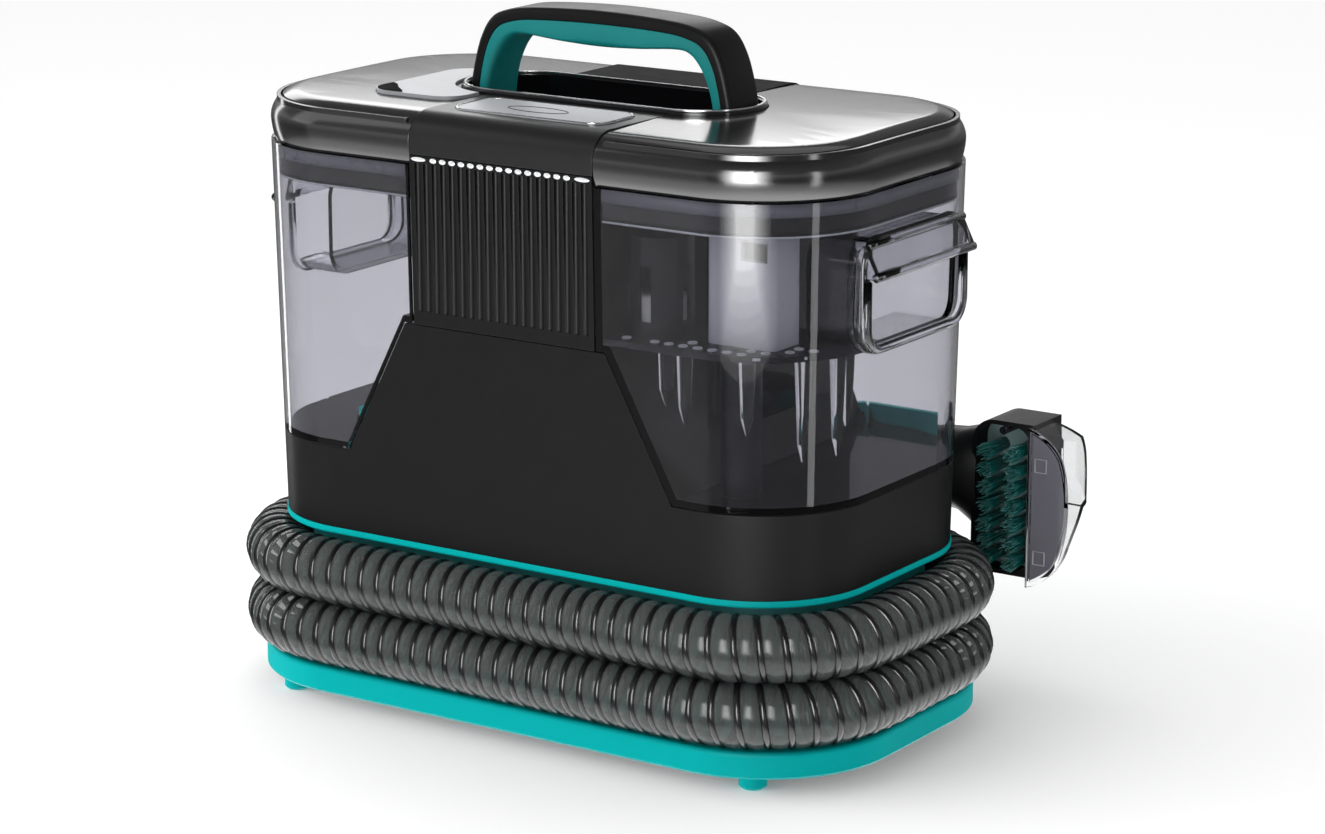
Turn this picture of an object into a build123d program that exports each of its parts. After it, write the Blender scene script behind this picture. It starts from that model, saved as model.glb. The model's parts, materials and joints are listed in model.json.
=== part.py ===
from build123d import *
import os
from math import atan, degrees, pi, radians, tan

# Portable spot cleaner for carpets and upholstery. Millimetres, Z up.
# The origin is on the floor under the middle of the body. X is the long way, the fluted face looks to -Y.

os.makedirs("parts", exist_ok=True)

# ---- body -------------------------------------------------------------------------------------
body_length = 300.0  # at the lid line
body_depth = 168.0
corner_radius = 54.0
body_taper = 3.7  # how far each side leans in between the lid line and the flange
wall = 3.0  # opaque mouldings
lid_line = 247.2  # lower edge of the lids
flange_top = 80.0
deck_top = 116.5  # flat ledge that the tanks stand on
mesa_top = 177.5  # raised middle of the lower shell
mesa_top_half = 51.75
mesa_foot_half = 84.1
cap_top = 269.3
cap_round = 13.0
column_half = 47.0  # half width of the fluted column
tower_half = 74.0  # half width of the tower behind the column
tower_front = -30.0
tower_top = 246.0
panel_top = 251.3
seam = 0.4  # gap between neighbouring covers

# ---- base and hose track ----------------------------------------------------------------------
foot_height = 6.0
foot_radius = 6.0
plate_length = 316.0
plate_depth = 180.0
plate_radius = 60.5
plate_top = 17.7
waist_length = 273.0
waist_depth = 137.0
waist_radius = 40.5
flange_bottom = 77.0

# ---- hose -------------------------------------------------------------------------------------
hose_diameter = 28.5
hose_radius = hose_diameter / 2
coil_length = 304.5  # centre line of a turn, end to end
coil_depth = 168.5
coil_corner = 56.0
turn_1_height = 32.5
turn_2_height = turn_1_height + hose_diameter
climb_start = -96.0  # where turn 1 starts up to the level of turn 2, along the back
climb_end = 20.0
port_face = 60.0  # x of the face where the hose leaves its port

# ---- handle -----------------------------------------------------------------------------------
dish_half_length = 74.0
dish_half_depth = 28.0
dish_rim = 271.0
dish_floor = 249.0
handle_width = 24.0
bolt_radius = 1.8
bolt_tip = dish_floor + 12
bolt_spots = [(x, y) for x in (-66.1, 66.1) for y in (-7.0, 7.0)]

# ---- tanks ------------------------------------------------------------------------------------
tank_gap = 0.6
tank_wall = 2.5
tank_top = 247.0
skirt_bottom = 234.5
grip_low = 184.0
grip_high = 226.0
grip_half = 38.0
grip_depth = 24.0
grip_proud = 2.5
visor_line = [
    (148.5, 226.5), (152.0, 226.5), (157.0, 216.5), (157.0, 213.0), (154.6, 213.0), (154.6, 215.8),
    (149.8, 225.0),
]
cheek_line = [(149.5, 226.5), (152.0, 226.5), (157.0, 216.5), (157.0, 213.0), (149.5, 213.0)]
tank_bend = 5.0  # rounding of the tanks' two inner corners
standpipe_spot = (100.0, -52.0)
valve_spot = (-100.0, -40.0)

# ---- hand tool --------------------------------------------------------------------------------
tool_y = 106.0
tool_z = 97.0
cuff_start = -62.0
handle_start = -30.0
neck_end = 118.0
head_low = 54.0
head_high = 124.0

taper_angle = degrees(atan(body_taper / (lid_line - flange_top)))


def lean(z):
    """How far the body's sides stand in from the lid line's outline at height z."""
    return (lid_line - z) * body_taper / (lid_line - flange_top)


def body_prism(z_low, z_high, inset):
    """The leaning body between two heights, its sides moved in by inset."""
    shrink = inset + lean(z_low)
    with BuildPart() as prism:
        with BuildSketch(Plane.XY.offset(z_low)):
            RectangleRounded(body_length - 2 * shrink, body_depth - 2 * shrink, corner_radius - shrink)
        extrude(amount=z_high - z_low, taper=-taper_angle)
    return prism.part


def slab(x_low, x_high, y_low, y_high, z_low, z_high):
    """A plain block between six planes."""
    with BuildPart() as block:
        with Locations(((x_low + x_high) / 2, (y_low + y_high) / 2, (z_low + z_high) / 2)):
            Box(x_high - x_low, y_high - y_low, z_high - z_low)
    return block.part


def mesa_block(grow):
    """Everything below the lower shell's top surface, seen from the front and run through in Y."""
    reach = 200.0
    with BuildPart() as block:
        with BuildSketch(Plane.XZ):
            with BuildLine():
                Polyline(
                    (-reach, 0),
                    (-reach, deck_top),
                    (-mesa_foot_half, deck_top),
                    (-mesa_top_half, mesa_top),
                    (mesa_top_half, mesa_top),
                    (mesa_foot_half, deck_top),
                    (reach, deck_top),
                    (reach, 0),
                    close=True,
                )
            make_face()
            corners = vertices().filter_by_position(Axis.Z, 1, 500)
            feet = [v for v in corners if abs(abs(v.X) - mesa_foot_half) < 0.1]
            shoulders = [v for v in corners if abs(abs(v.X) - mesa_top_half) < 0.1]
            fillet(shoulders, 16.0)
            fillet(feet, 14.0)
            if grow:
                offset(amount=grow, kind=Kind.INTERSECTION)
        extrude(amount=reach, both=True)
    return block.part


def stadium(half_length, half_depth, z_low, z_high):
    """An upright block with a slot-shaped outline."""
    with BuildPart() as block:
        with BuildSketch(Plane.XY.offset(z_low)):
            SlotOverall(2 * half_length, 2 * half_depth)
        extrude(amount=z_high - z_low)
    return block.part


def cap_block(inset, z_low, z_high, rounding):
    """The rounded top of the body above the lid line."""
    with BuildPart() as block:
        with BuildSketch(Plane.XY.offset(z_low)):
            RectangleRounded(body_length - 2 * inset, body_depth - 2 * inset, corner_radius - inset)
        extrude(amount=z_high - z_low)
        fillet(block.faces().sort_by(Axis.Z)[-1].edges(), rounding)
    return block.part


def tank_plan(side, grow, z_low, z_high):
    """The L-shaped outline of a tank beside the tower; side is 1 for the right tank, -1 for the left."""
    reach = 200.0
    inner = column_half + tank_gap - grow
    shoulder = tower_half + tank_gap - grow
    step = tower_front - tank_gap + grow
    with BuildPart() as block:
        with BuildSketch(Plane.XY.offset(z_low)):
            with BuildLine():
                Polyline(
                    (side * inner, -reach),
                    (side * inner, step),
                    (side * shoulder, step),
                    (side * shoulder, reach),
                    (side * reach, reach),
                    (side * reach, -reach),
                    close=True,
                )
            make_face()
            bends = [v for v in vertices() if abs(v.Y - step) < 0.01]
            fillet(bends, tank_bend)
        extrude(amount=z_high - z_low)
    return block.part


def cylinder_x(radius, x_low, x_high, y, z):
    """A solid rod along X."""
    with BuildPart() as rod:
        with BuildSketch(Plane.YZ.offset(x_low)):
            with Locations((y, z)):
                Circle(radius)
        extrude(amount=x_high - x_low)
    return rod.part


def cylinder_z(radius, x, y, z_low, z_high):
    """A solid rod along Z."""
    with BuildPart() as rod:
        with BuildSketch(Plane.XY.offset(z_low)):
            with Locations((x, y)):
                Circle(radius)
        extrude(amount=z_high - z_low)
    return rod.part


def save(piece, name):
    """Label a finished piece and write its STEP file."""
    piece.label = name
    export_step(piece, f"parts/{name}.step")


# ==== chassis ==================================================================================
foot_spots = [(x, y) for x in (-121.0, 121.0) for y in (-75.0, 75.0)]
screw_spots = [(x, y) for x in (-90.0, 90.0) for y in (-61.0, 61.0)]
screw_head_radius = 4.0
screw_shank_radius = 2.0
plate_thickness = 6.0
foot_socket = 3.0
screw_tip = 32.0

with BuildPart() as base_plate:
    with BuildSketch(Plane.XY.offset(foot_height)):
        RectangleRounded(plate_length, plate_depth, plate_radius)
    extrude(amount=plate_top - foot_height)
    fillet(base_plate.faces().sort_by(Axis.Z)[-1].edges(), 2.0)
    chamfer(base_plate.faces().sort_by(Axis.Z)[0].edges(), 1.2)
    with BuildSketch(Plane.XY.offset(foot_height + plate_thickness)):
        RectangleRounded(waist_length - 8, waist_depth - 8, waist_radius - 4)
    extrude(amount=plate_top, mode=Mode.SUBTRACT)
    for x, y in foot_spots:
        add(cylinder_z(4.0, x, y, foot_height, foot_height + foot_socket), mode=Mode.SUBTRACT)
    for x, y in screw_spots:
        add(cylinder_z(screw_shank_radius, x, y, foot_height, plate_top), mode=Mode.SUBTRACT)
        add(cylinder_z(screw_head_radius + 0.3, x, y, foot_height, foot_height + 3), mode=Mode.SUBTRACT)
save(base_plate.part, "base_plate")

with BuildPart() as feet:
    for x, y in foot_spots:
        add(cylinder_z(foot_radius, x, y, 0, foot_height))
        add(cylinder_z(4.0, x, y, foot_height, foot_height + foot_socket))
    chamfer(feet.faces().filter_by_position(Axis.Z, -0.01, 0.01).edges(), 1.0)
save(feet.part, "feet")

with BuildPart() as base_screws:
    for x, y in screw_spots:
        add(cylinder_z(screw_head_radius, x, y, foot_height + 1, foot_height + 3))
        add(cylinder_z(screw_shank_radius, x, y, foot_height + 3, screw_tip))
save(base_screws.part, "base_screws")

port_center_x = 40.0
port_radius = 13.9
with BuildPart() as hose_waist:
    with BuildSketch(Plane.XY.offset(plate_top)):
        RectangleRounded(waist_length, waist_depth, waist_radius)
    extrude(amount=flange_bottom - plate_top)
    with BuildSketch(Plane.XY.offset(plate_top)):
        RectangleRounded(waist_length - 2 * wall, waist_depth - 2 * wall, waist_radius - wall)
    extrude(amount=flange_bottom - plate_top, mode=Mode.SUBTRACT)
    for x, y in screw_spots:
        add(cylinder_z(5.0, x, y, plate_top, flange_bottom))
        add(cylinder_z(screw_shank_radius, x, y, plate_top - 1, screw_tip), mode=Mode.SUBTRACT)
    with BuildSketch(Plane.XZ.offset(-waist_depth / 2 - 1)):
        with Locations((port_center_x, turn_1_height)):
            Circle(10.0)
    extrude(amount=8.0, mode=Mode.SUBTRACT)
save(hose_waist.part, "hose_waist")

with BuildPart() as upper_flange:
    with BuildSketch(Plane.XY.offset(flange_bottom)):
        trim = 2 * lean(flange_top) - 1.0
        RectangleRounded(body_length - trim, body_depth - trim, corner_radius - trim / 2)
        RectangleRounded(waist_length - 12, waist_depth - 12, waist_radius - 4.5, mode=Mode.SUBTRACT)
    extrude(amount=flange_top - flange_bottom)
    lower_edges = upper_flange.edges().filter_by_position(Axis.Z, flange_bottom, flange_bottom)
    fillet(lower_edges.sort_by(SortBy.LENGTH)[-1], 1.0)
save(upper_flange.part, "upper_flange")

# The lower shell: a tapered band with a raised middle that runs through from front to back.
with BuildPart() as shell_cavity:
    add(body_prism(flange_top - 1, mesa_top + 5, wall))
    add(mesa_block(-wall), mode=Mode.INTERSECT)

with BuildPart() as lower_shell:
    add(body_prism(flange_top, mesa_top + 5, 0))
    add(mesa_block(0), mode=Mode.INTERSECT)
    add(shell_cavity.part, mode=Mode.SUBTRACT)
    add(slab(-34, 34, -50, 50, mesa_top - 2 * wall, mesa_top + 1), mode=Mode.SUBTRACT)
    add(cylinder_z(3.5, *valve_spot, deck_top - 10, deck_top + 1), mode=Mode.SUBTRACT)
    add(cylinder_z(8.0, *standpipe_spot, deck_top - 15, deck_top + 1), mode=Mode.SUBTRACT)
save(lower_shell.part, "lower_shell")

# The tower: a narrow front and a wider back, standing on the raised middle.
panel_thickness = 3.0
tower_low = deck_top + 0.2
rear_opening_half = 58.0
rear_opening_low = 186.0
rear_opening_high = 238.0

with BuildPart() as tower_front_block:
    add(body_prism(tower_low, tower_top, panel_thickness + 0.1))
    add(slab(-column_half, column_half, -100, tower_front + 5, 0, 400), mode=Mode.INTERSECT)

with BuildPart() as tower_back_outline:
    add(slab(-tower_half, tower_half, tower_front, 100, 0, 400))
    front_corners = tower_back_outline.edges().filter_by(Axis.Z).group_by(Axis.Y)[0]
    fillet(front_corners, tank_bend + 1)

with BuildPart() as tower_back_block:
    add(body_prism(tower_low, tower_top, 0))
    add(tower_back_outline.part, mode=Mode.INTERSECT)

with BuildPart() as tower_front_cavity:
    add(body_prism(tower_low - 5, tower_top - wall, panel_thickness + 0.1 + wall))
    add(slab(-column_half + wall, column_half - wall, -100, tower_front + 8, 0, 400), mode=Mode.INTERSECT)

with BuildPart() as tower_back_cavity:
    add(body_prism(tower_low - 5, tower_top - wall, wall))
    add(slab(-tower_half + wall, tower_half - wall, tower_front + wall, 100, 0, 400), mode=Mode.INTERSECT)

with BuildPart() as tower_shell:
    add(tower_front_block.part)
    add(tower_back_block.part)
    add(tower_front_cavity.part, mode=Mode.SUBTRACT)
    add(tower_back_cavity.part, mode=Mode.SUBTRACT)
    add(mesa_block(0), mode=Mode.SUBTRACT)
    add(
        slab(-rear_opening_half, rear_opening_half, 60, 100, rear_opening_low, rear_opening_high),
        mode=Mode.SUBTRACT,
    )
    for x, y in bolt_spots:
        add(cylinder_z(bolt_radius, x, y, tower_top - wall - 1, tower_top + 1), mode=Mode.SUBTRACT)
save(tower_shell.part, "tower_shell")

# Fluted front panel between the two tanks.
flute_pitch = 4.5
flute_radius = 1.5
flute_count = 20
flute_low = 184.0
with BuildPart() as front_panel:
    add(body_prism(mesa_top - 8, panel_top, 0))
    add(body_prism(mesa_top - 9, panel_top + 1, panel_thickness), mode=Mode.SUBTRACT)
    add(slab(-column_half + 0.3, column_half - 0.3, -100, -60, 0, 400), mode=Mode.INTERSECT)
    add(mesa_block(seam), mode=Mode.SUBTRACT)
    for index in range(flute_count):
        flute_x = (index - (flute_count - 1) / 2) * flute_pitch
        groove_y = -(body_depth / 2 - lean(flute_low)) - 0.9
        with BuildSketch(Plane.XY.offset(flute_low)):
            with Locations((flute_x, groove_y)):
                Circle(flute_radius)
        extrude(amount=panel_top - flute_low - 3, mode=Mode.SUBTRACT)
save(front_panel.part, "front_flute_panel")

# Rear panel with exhaust louvres.
louvre_rows = 8
louvre_pitch = 5.5
with BuildPart() as rear_panel:
    add(body_prism(rear_opening_low + 0.2, rear_opening_high - 0.2, 0))
    add(body_prism(rear_opening_low - 1, rear_opening_high + 1, wall), mode=Mode.SUBTRACT)
    add(slab(-rear_opening_half + 0.2, rear_opening_half - 0.2, 60, 100, 0, 400), mode=Mode.INTERSECT)
    middle = (rear_opening_low + rear_opening_high) / 2
    for row in range(louvre_rows):
        slot_z = middle + (row - (louvre_rows - 1) / 2) * louvre_pitch
        add(slab(-44, -2, 60, 100, slot_z - 1.3, slot_z + 1.3), mode=Mode.SUBTRACT)
        add(slab(2, 44, 60, 100, slot_z - 1.3, slot_z + 1.3), mode=Mode.SUBTRACT)
save(rear_panel.part, "rear_louvre_panel")

# ==== top ======================================================================================
bridge_half = column_half - 0.2
button_half_x = 39.0
button_half_y = 16.0
button_y = -51.0
button_travel = 1.5
button_proud = 0.6
button_thickness = 3.0

with BuildPart() as bridge_cavity:
    add(cap_block(wall, tower_top - 1, cap_top - wall, cap_round - wall))
    add(slab(-bridge_half + wall, bridge_half - wall, -100, 100, 0, 400), mode=Mode.INTERSECT)
    add(stadium(dish_half_length + wall, dish_half_depth + wall, 200, 300), mode=Mode.SUBTRACT)

with BuildPart() as top_bridge:
    add(cap_block(0, tower_top, cap_top, cap_round))
    add(slab(-bridge_half, bridge_half, -100, 100, 0, 400), mode=Mode.INTERSECT)
    add(bridge_cavity.part, mode=Mode.SUBTRACT)
    add(stadium(dish_half_length + 0.2, dish_half_depth + 0.2, 200, 300), mode=Mode.SUBTRACT)
    add(slab(-60, 60, -100, -body_depth / 2 + panel_thickness + 0.1, 200, panel_top + seam), mode=Mode.SUBTRACT)
    with BuildSketch(Plane.XY.offset(cap_top - 5)):
        with Locations((0, button_y)):
            RectangleRounded(2 * button_half_x + 0.6, 2 * button_half_y + 0.6, 9.3)
    extrude(amount=10, mode=Mode.SUBTRACT)
top_covers = top_bridge.part.solids().sort_by(Axis.Y)
save(Part(top_covers[0].wrapped), "front_top_cover")
save(Part(top_covers[-1].wrapped), "rear_top_cover")

with BuildPart() as power_button:
    with BuildSketch(Plane.XY.offset(cap_top - button_thickness + button_proud)):
        with Locations((0, button_y)):
            RectangleRounded(2 * button_half_x, 2 * button_half_y, 9.0)
    extrude(amount=button_thickness)
    fillet(power_button.faces().sort_by(Axis.Z)[-1].edges(), 0.8)
    add(cylinder_z(3.0, 0, button_y, 258.0, cap_top - button_thickness + button_proud))
save(power_button.part, "power_button")

with BuildPart() as power_switch:
    add(slab(-9, 9, button_y - 7, button_y + 7, tower_top + 0.2, 255.5))
    add(cylinder_z(2.0, 0, button_y, 255.5, 256.3))
save(power_switch.part, "power_switch")

# Oval dish round the feet of the carrying handle, with a recess for the fingers.
with BuildPart() as handle_dish:
    add(stadium(dish_half_length, dish_half_depth, tower_top, dish_rim))
    add(stadium(dish_half_length - 2.5, dish_half_depth - 2.5, dish_floor, dish_rim + 1), mode=Mode.SUBTRACT)
    fillet(handle_dish.faces().filter_by(Axis.Z).sort_by(Axis.Z)[-1].edges(), 0.8)
    for x, y in bolt_spots:
        add(cylinder_z(bolt_radius, x, y, tower_top - 1, dish_floor + 1), mode=Mode.SUBTRACT)
save(handle_dish.part, "handle_dish")

trim_width = 1.0
with BuildPart() as dish_trim:
    with BuildSketch(Plane.XY.offset(dish_rim)):
        SlotOverall(2 * (dish_half_length - 0.8), 2 * (dish_half_depth - 0.8))
        SlotOverall(
            2 * (dish_half_length - 0.8 - trim_width), 2 * (dish_half_depth - 0.8 - trim_width), mode=Mode.SUBTRACT
        )
    extrude(amount=0.7)
save(dish_trim.part, "dish_trim_ring")

# Carrying handle: a black cover over a teal grip. Both follow one outline, seen from the front.
leg_low = dish_floor
outer_line = [
    (68.6, 262.0), (67.8, 271.0), (66.0, 280.0), (62.6, 291.0), (57.5, 299.5), (50.0, 303.6),
    (35.0, 306.0),
]
inner_line = [
    (58.6, 262.0), (57.6, 271.0), (55.4, 279.0), (51.0, 287.0), (45.5, 292.4), (38.0, 293.6),
    (19.0, 292.2),
]
crown_z = 307.3
belly_z = 291.5


def arch_block(points, crown, low, half_width):
    """A solid arch: a smooth crown over straight legs, from (x, z) points of its right side."""
    line = points + [(0, crown)] + [(-x, z) for x, z in reversed(points)]
    with BuildPart() as block:
        with BuildSketch(Plane.XZ.offset(-half_width)):
            with BuildLine():
                Spline(*line, tangents=((-0.05, 1), (-0.05, -1)))
                Polyline(line[-1], (line[-1][0], low), (line[0][0], low), line[0])
            make_face()
        extrude(amount=2 * half_width)
    return block.part


cover_line = [
    (63.6, 262.0), (62.8, 271.0), (61.0, 280.0), (58.2, 288.5), (53.8, 295.2), (47.5, 298.6),
    (34.0, 300.8),
]
cover_crown = crown_z - 5.6
grip_half_width = handle_width / 2 - 0.4

with BuildPart() as handle_cover_piece:
    add(arch_block(outer_line, crown_z, leg_low, handle_width / 2))
    outer_edges = handle_cover_piece.faces().filter_by(Axis.Y).edges().filter_by(GeomType.BSPLINE)
    fillet(outer_edges, 4.0)
    add(arch_block(cover_line, cover_crown, leg_low - 1, handle_width), mode=Mode.SUBTRACT)
    for x, y in bolt_spots:
        add(cylinder_z(bolt_radius, x, y, leg_low - 1, bolt_tip), mode=Mode.SUBTRACT)
save(handle_cover_piece.part, "handle_cover")

with BuildPart() as handle_grip:
    add(arch_block(cover_line, cover_crown, leg_low, grip_half_width))
    add(arch_block(inner_line, belly_z, leg_low - 1, handle_width), mode=Mode.SUBTRACT)
save(handle_grip.part, "handle_grip")

with BuildPart() as handle_bolts:
    for x, y in bolt_spots:
        add(cylinder_z(3.5, x, y, tower_top - 6, tower_top - wall))
        add(cylinder_z(bolt_radius, x, y, tower_top - wall, bolt_tip))
save(handle_bolts.part, "handle_bolts")

# ==== tanks ====================================================================================
valve_radius = 5.0
grip_wall = 2.5
floor_top = deck_top + tank_gap + tank_wall


def grip_box(side, grow, x_in, x_out):
    """A rounded block through a tank's end wall, for its hand grip."""
    with BuildPart() as block:
        with BuildSketch(Plane.YZ.offset(min(side * x_in, side * x_out))):
            with Locations((0, (grip_low + grip_high) / 2)):
                RectangleRounded(2 * (grip_half + grow), grip_high - grip_low + 2 * grow, 9.0 + grow)
        extrude(amount=abs(x_out - x_in))
    return block.part


def grip_ring(side):
    """The proud rim round a grip's mouth, its outer edge rounded."""
    with BuildPart() as ring:
        add(grip_box(side, grip_wall + 1.5, body_length / 2 - 2.8, body_length / 2 + grip_proud))
        fillet(ring.faces().sort_by(Axis.X)[-1 if side > 0 else 0].edges(), 2.0)
    return ring.part


def grip_visor(side, line, y_low, y_high):
    """A profile seen from the front, run along the top of a grip's mouth."""
    with BuildPart() as visor:
        with BuildSketch(Plane.XZ.offset(-y_high)):
            with BuildLine():
                Polyline(*[(side * x, z) for x, z in line], close=True)
            make_face()
        extrude(amount=y_high - y_low)
    return visor.part


def tank_cavity(side):
    """The room inside a tank, apart from its grip."""
    with BuildPart() as room:
        add(body_prism(deck_top, tank_top + 2, tank_wall))
        add(tank_plan(side, -tank_wall, deck_top - 5, tank_top + 5), mode=Mode.INTERSECT)
        add(mesa_block(tank_gap + tank_wall), mode=Mode.SUBTRACT)
    return room.part


def tank_shell(side):
    """An open-topped clear tank with a recessed grip in its end wall."""
    grip_floor = body_length / 2 - grip_depth
    with BuildPart() as shell:
        add(body_prism(deck_top, tank_top, 0))
        add(tank_plan(side, 0, deck_top - 5, tank_top + 5), mode=Mode.INTERSECT)
        add(mesa_block(tank_gap), mode=Mode.SUBTRACT)
        add(tank_cavity(side), mode=Mode.SUBTRACT)
        add(grip_box(side, grip_wall, grip_floor - grip_wall, body_length / 2 - 2))
        add(grip_ring(side))
        add(grip_box(side, 0, grip_floor, body_length / 2 + 10), mode=Mode.SUBTRACT)
        add(grip_visor(side, visor_line, -grip_half, grip_half))
        add(grip_visor(side, cheek_line, -grip_half - 1.5, -grip_half + 1.0))
        add(grip_visor(side, cheek_line, grip_half - 1.0, grip_half + 1.5))
    return shell.part


def lid_shell(side):
    """A rounded lid that fits round the handle's dish, with a skirt that goes down inside the tank."""
    edge = column_half + 0.2
    with BuildPart() as hollow:
        add(cap_block(tank_wall, tower_top, cap_top - tank_wall, cap_round - tank_wall))
        add(slab(edge + tank_wall, 200, -100, 100, 0, 400), mode=Mode.INTERSECT)
        add(stadium(dish_half_length + 3.2, dish_half_depth + 3.2, 200, 300), mode=Mode.SUBTRACT)
    with BuildPart() as skirt:
        add(body_prism(skirt_bottom, cap_top - tank_wall, tank_wall + 0.7))
        add(tank_plan(1, -tank_wall - 0.4, skirt_bottom, cap_top - tank_wall), mode=Mode.INTERSECT)
    with BuildPart() as skirt_room:
        add(body_prism(skirt_bottom - 1, cap_top - tank_wall, tank_wall + 2.5))
        add(tank_plan(1, -tank_wall - 2.4, skirt_bottom - 1, cap_top - tank_wall), mode=Mode.INTERSECT)
    with BuildPart() as lid:
        add(cap_block(0, lid_line, cap_top, cap_round))
        add(slab(edge, 200, -100, 100, 0, 400), mode=Mode.INTERSECT)
        add(stadium(dish_half_length + 0.5, dish_half_depth + 0.5, 200, 300), mode=Mode.SUBTRACT)
        add(hollow.part, mode=Mode.SUBTRACT)
        add(skirt.part)
        add(skirt_room.part, mode=Mode.SUBTRACT)
        add(stadium(dish_half_length + 0.5, dish_half_depth + 0.5, 200, 300), mode=Mode.SUBTRACT)
        add(slab(0, edge, -100, 100, 0, 400), mode=Mode.SUBTRACT)
    if side > 0:
        return lid.part
    with BuildPart() as left_lid:
        add(mirror(lid.part, about=Plane.YZ, mode=Mode.PRIVATE))
    return left_lid.part


def skirt_seal(side):
    """A flat gasket round the foot of a lid's skirt."""
    with BuildPart() as seal:
        add(body_prism(skirt_bottom - 2, skirt_bottom, tank_wall + 0.5))
        add(tank_plan(side, -tank_wall - 0.3, skirt_bottom - 2, skirt_bottom), mode=Mode.INTERSECT)
    with BuildPart() as seal_room:
        add(body_prism(skirt_bottom - 3, skirt_bottom + 1, tank_wall + 3.0))
        add(tank_plan(side, -tank_wall - 3.0, skirt_bottom - 3, skirt_bottom + 1), mode=Mode.INTERSECT)
    with BuildPart() as ring:
        add(seal.part)
        add(seal_room.part, mode=Mode.SUBTRACT)
    return ring.part


# Clean water tank, on the left.
with BuildPart() as clean_tank:
    add(tank_shell(-1))
    add(cylinder_z(9.0, *valve_spot, deck_top + tank_gap, floor_top + 3))
    add(cylinder_z(valve_radius + 0.05, *valve_spot, deck_top, floor_top + 4), mode=Mode.SUBTRACT)
save(clean_tank.part, "clean_tank")

with BuildPart() as clean_valve:
    add(cylinder_z(valve_radius, *valve_spot, deck_top + tank_gap + 0.3, floor_top + 3))
    add(cylinder_z(8.0, *valve_spot, floor_top + 3, floor_top + 5.5))
save(clean_valve.part, "clean_tank_valve")

with BuildPart() as clean_seat:
    add(cylinder_z(9.0, *valve_spot, deck_top, deck_top + 0.5))
    add(cylinder_z(3.5, *valve_spot, deck_top - 9, deck_top))
    add(cylinder_z(2.0, *valve_spot, deck_top - 10, deck_top + 1), mode=Mode.SUBTRACT)
save(clean_seat.part, "clean_tank_seat")

# Filler flap beside the dish: a thin leaf that hinges at its back end.
flap_x = (-96.0, -49.0)
flap_y = (-50.0, 21.0)
flap_top = cap_top + 1.2
flap_thickness = 1.8
filler_spot = (-86.5, -22.0)
filler_radius = 8.5
leaf_right = -77.5  # the leaf's edge beside the end of the dish
pin_y = 19.5
pin_z = flap_top - 3.0
barrel_x = (-94.0, -80.0)
pin_x = (-99.5, -74.5)


def flap_leaf(grow, z_low, z_high):
    """The flap's outline run up in Z: a rounded plate that hugs the end of the dish."""
    with BuildPart() as leaf:
        with BuildSketch(Plane.XY.offset(z_low)):
            with Locations(((flap_x[0] + flap_x[1]) / 2, (flap_y[0] + flap_y[1]) / 2)):
                RectangleRounded(flap_x[1] - flap_x[0] + 2 * grow, flap_y[1] - flap_y[0] + 2 * grow, 12.0)
            SlotOverall(2 * (dish_half_length + 3 - grow), 2 * (dish_half_depth + 3 - grow), mode=Mode.SUBTRACT)
            with Locations((leaf_right + 20 + grow, 20)):
                Rectangle(40, 40, mode=Mode.SUBTRACT)
        extrude(amount=z_high - z_low)
    return leaf.part


with BuildPart() as clean_lid:
    add(lid_shell(-1))
    add(flap_leaf(0.4, flap_top - flap_thickness - 0.2, flap_top + 2), mode=Mode.SUBTRACT)
    add(cylinder_z(filler_radius, *filler_spot, 240, 280), mode=Mode.SUBTRACT)
    add(slab(-101, -73, pin_y - 6, pin_y + 6, 262, cap_top - 1))
    add(slab(-97, leaf_right + 1, pin_y - 4, pin_y + 4.2, flap_top - 5.6, 280), mode=Mode.SUBTRACT)
    add(cylinder_x(1.0, *pin_x, pin_y, pin_z), mode=Mode.SUBTRACT)
save(clean_lid.part, "clean_tank_lid")

with BuildPart() as filler_flap:
    add(flap_leaf(0, flap_top - flap_thickness, flap_top))
    add(cylinder_x(2.2, *barrel_x, pin_y, pin_z))
    add(cylinder_x(1.05, *pin_x, pin_y, pin_z), mode=Mode.SUBTRACT)
save(filler_flap.part, "filler_flap")

with BuildPart() as flap_pin:
    add(cylinder_x(1.0, *pin_x, pin_y, pin_z))
save(flap_pin.part, "flap_hinge_pin")

save(skirt_seal(-1), "clean_lid_seal")

# Dirty water tank, on the right.
plate_low = 181.0
plate_high = 183.5
plate_back = -18.0
cage_spot = (64.0, -57.0)
cage_bore = 11.0
float_radius = 10.95
float_low = 185.0
float_high = 201.0
with BuildPart() as dirty_tank:
    add(tank_shell(1))
    add(cylinder_z(9.0, *standpipe_spot, deck_top + tank_gap, floor_top))
    add(cylinder_z(6.5, *standpipe_spot, deck_top, floor_top + 4), mode=Mode.SUBTRACT)
save(dirty_tank.part, "dirty_tank")

with BuildPart() as standpipe:
    add(cylinder_z(8.5, *standpipe_spot, floor_top, 226))
    add(cylinder_z(6.5, *standpipe_spot, floor_top - 1, 227), mode=Mode.SUBTRACT)
save(standpipe.part, "dirty_tank_standpipe")

with BuildPart() as dirty_seat:
    add(cylinder_z(9.0, *standpipe_spot, deck_top, deck_top + 0.5))
    add(cylinder_z(8.0, *standpipe_spot, deck_top - 14, deck_top))
    add(cylinder_z(6.5, *standpipe_spot, deck_top - 15, deck_top + 1), mode=Mode.SUBTRACT)
save(dirty_seat.part, "dirty_tank_seat")

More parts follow.
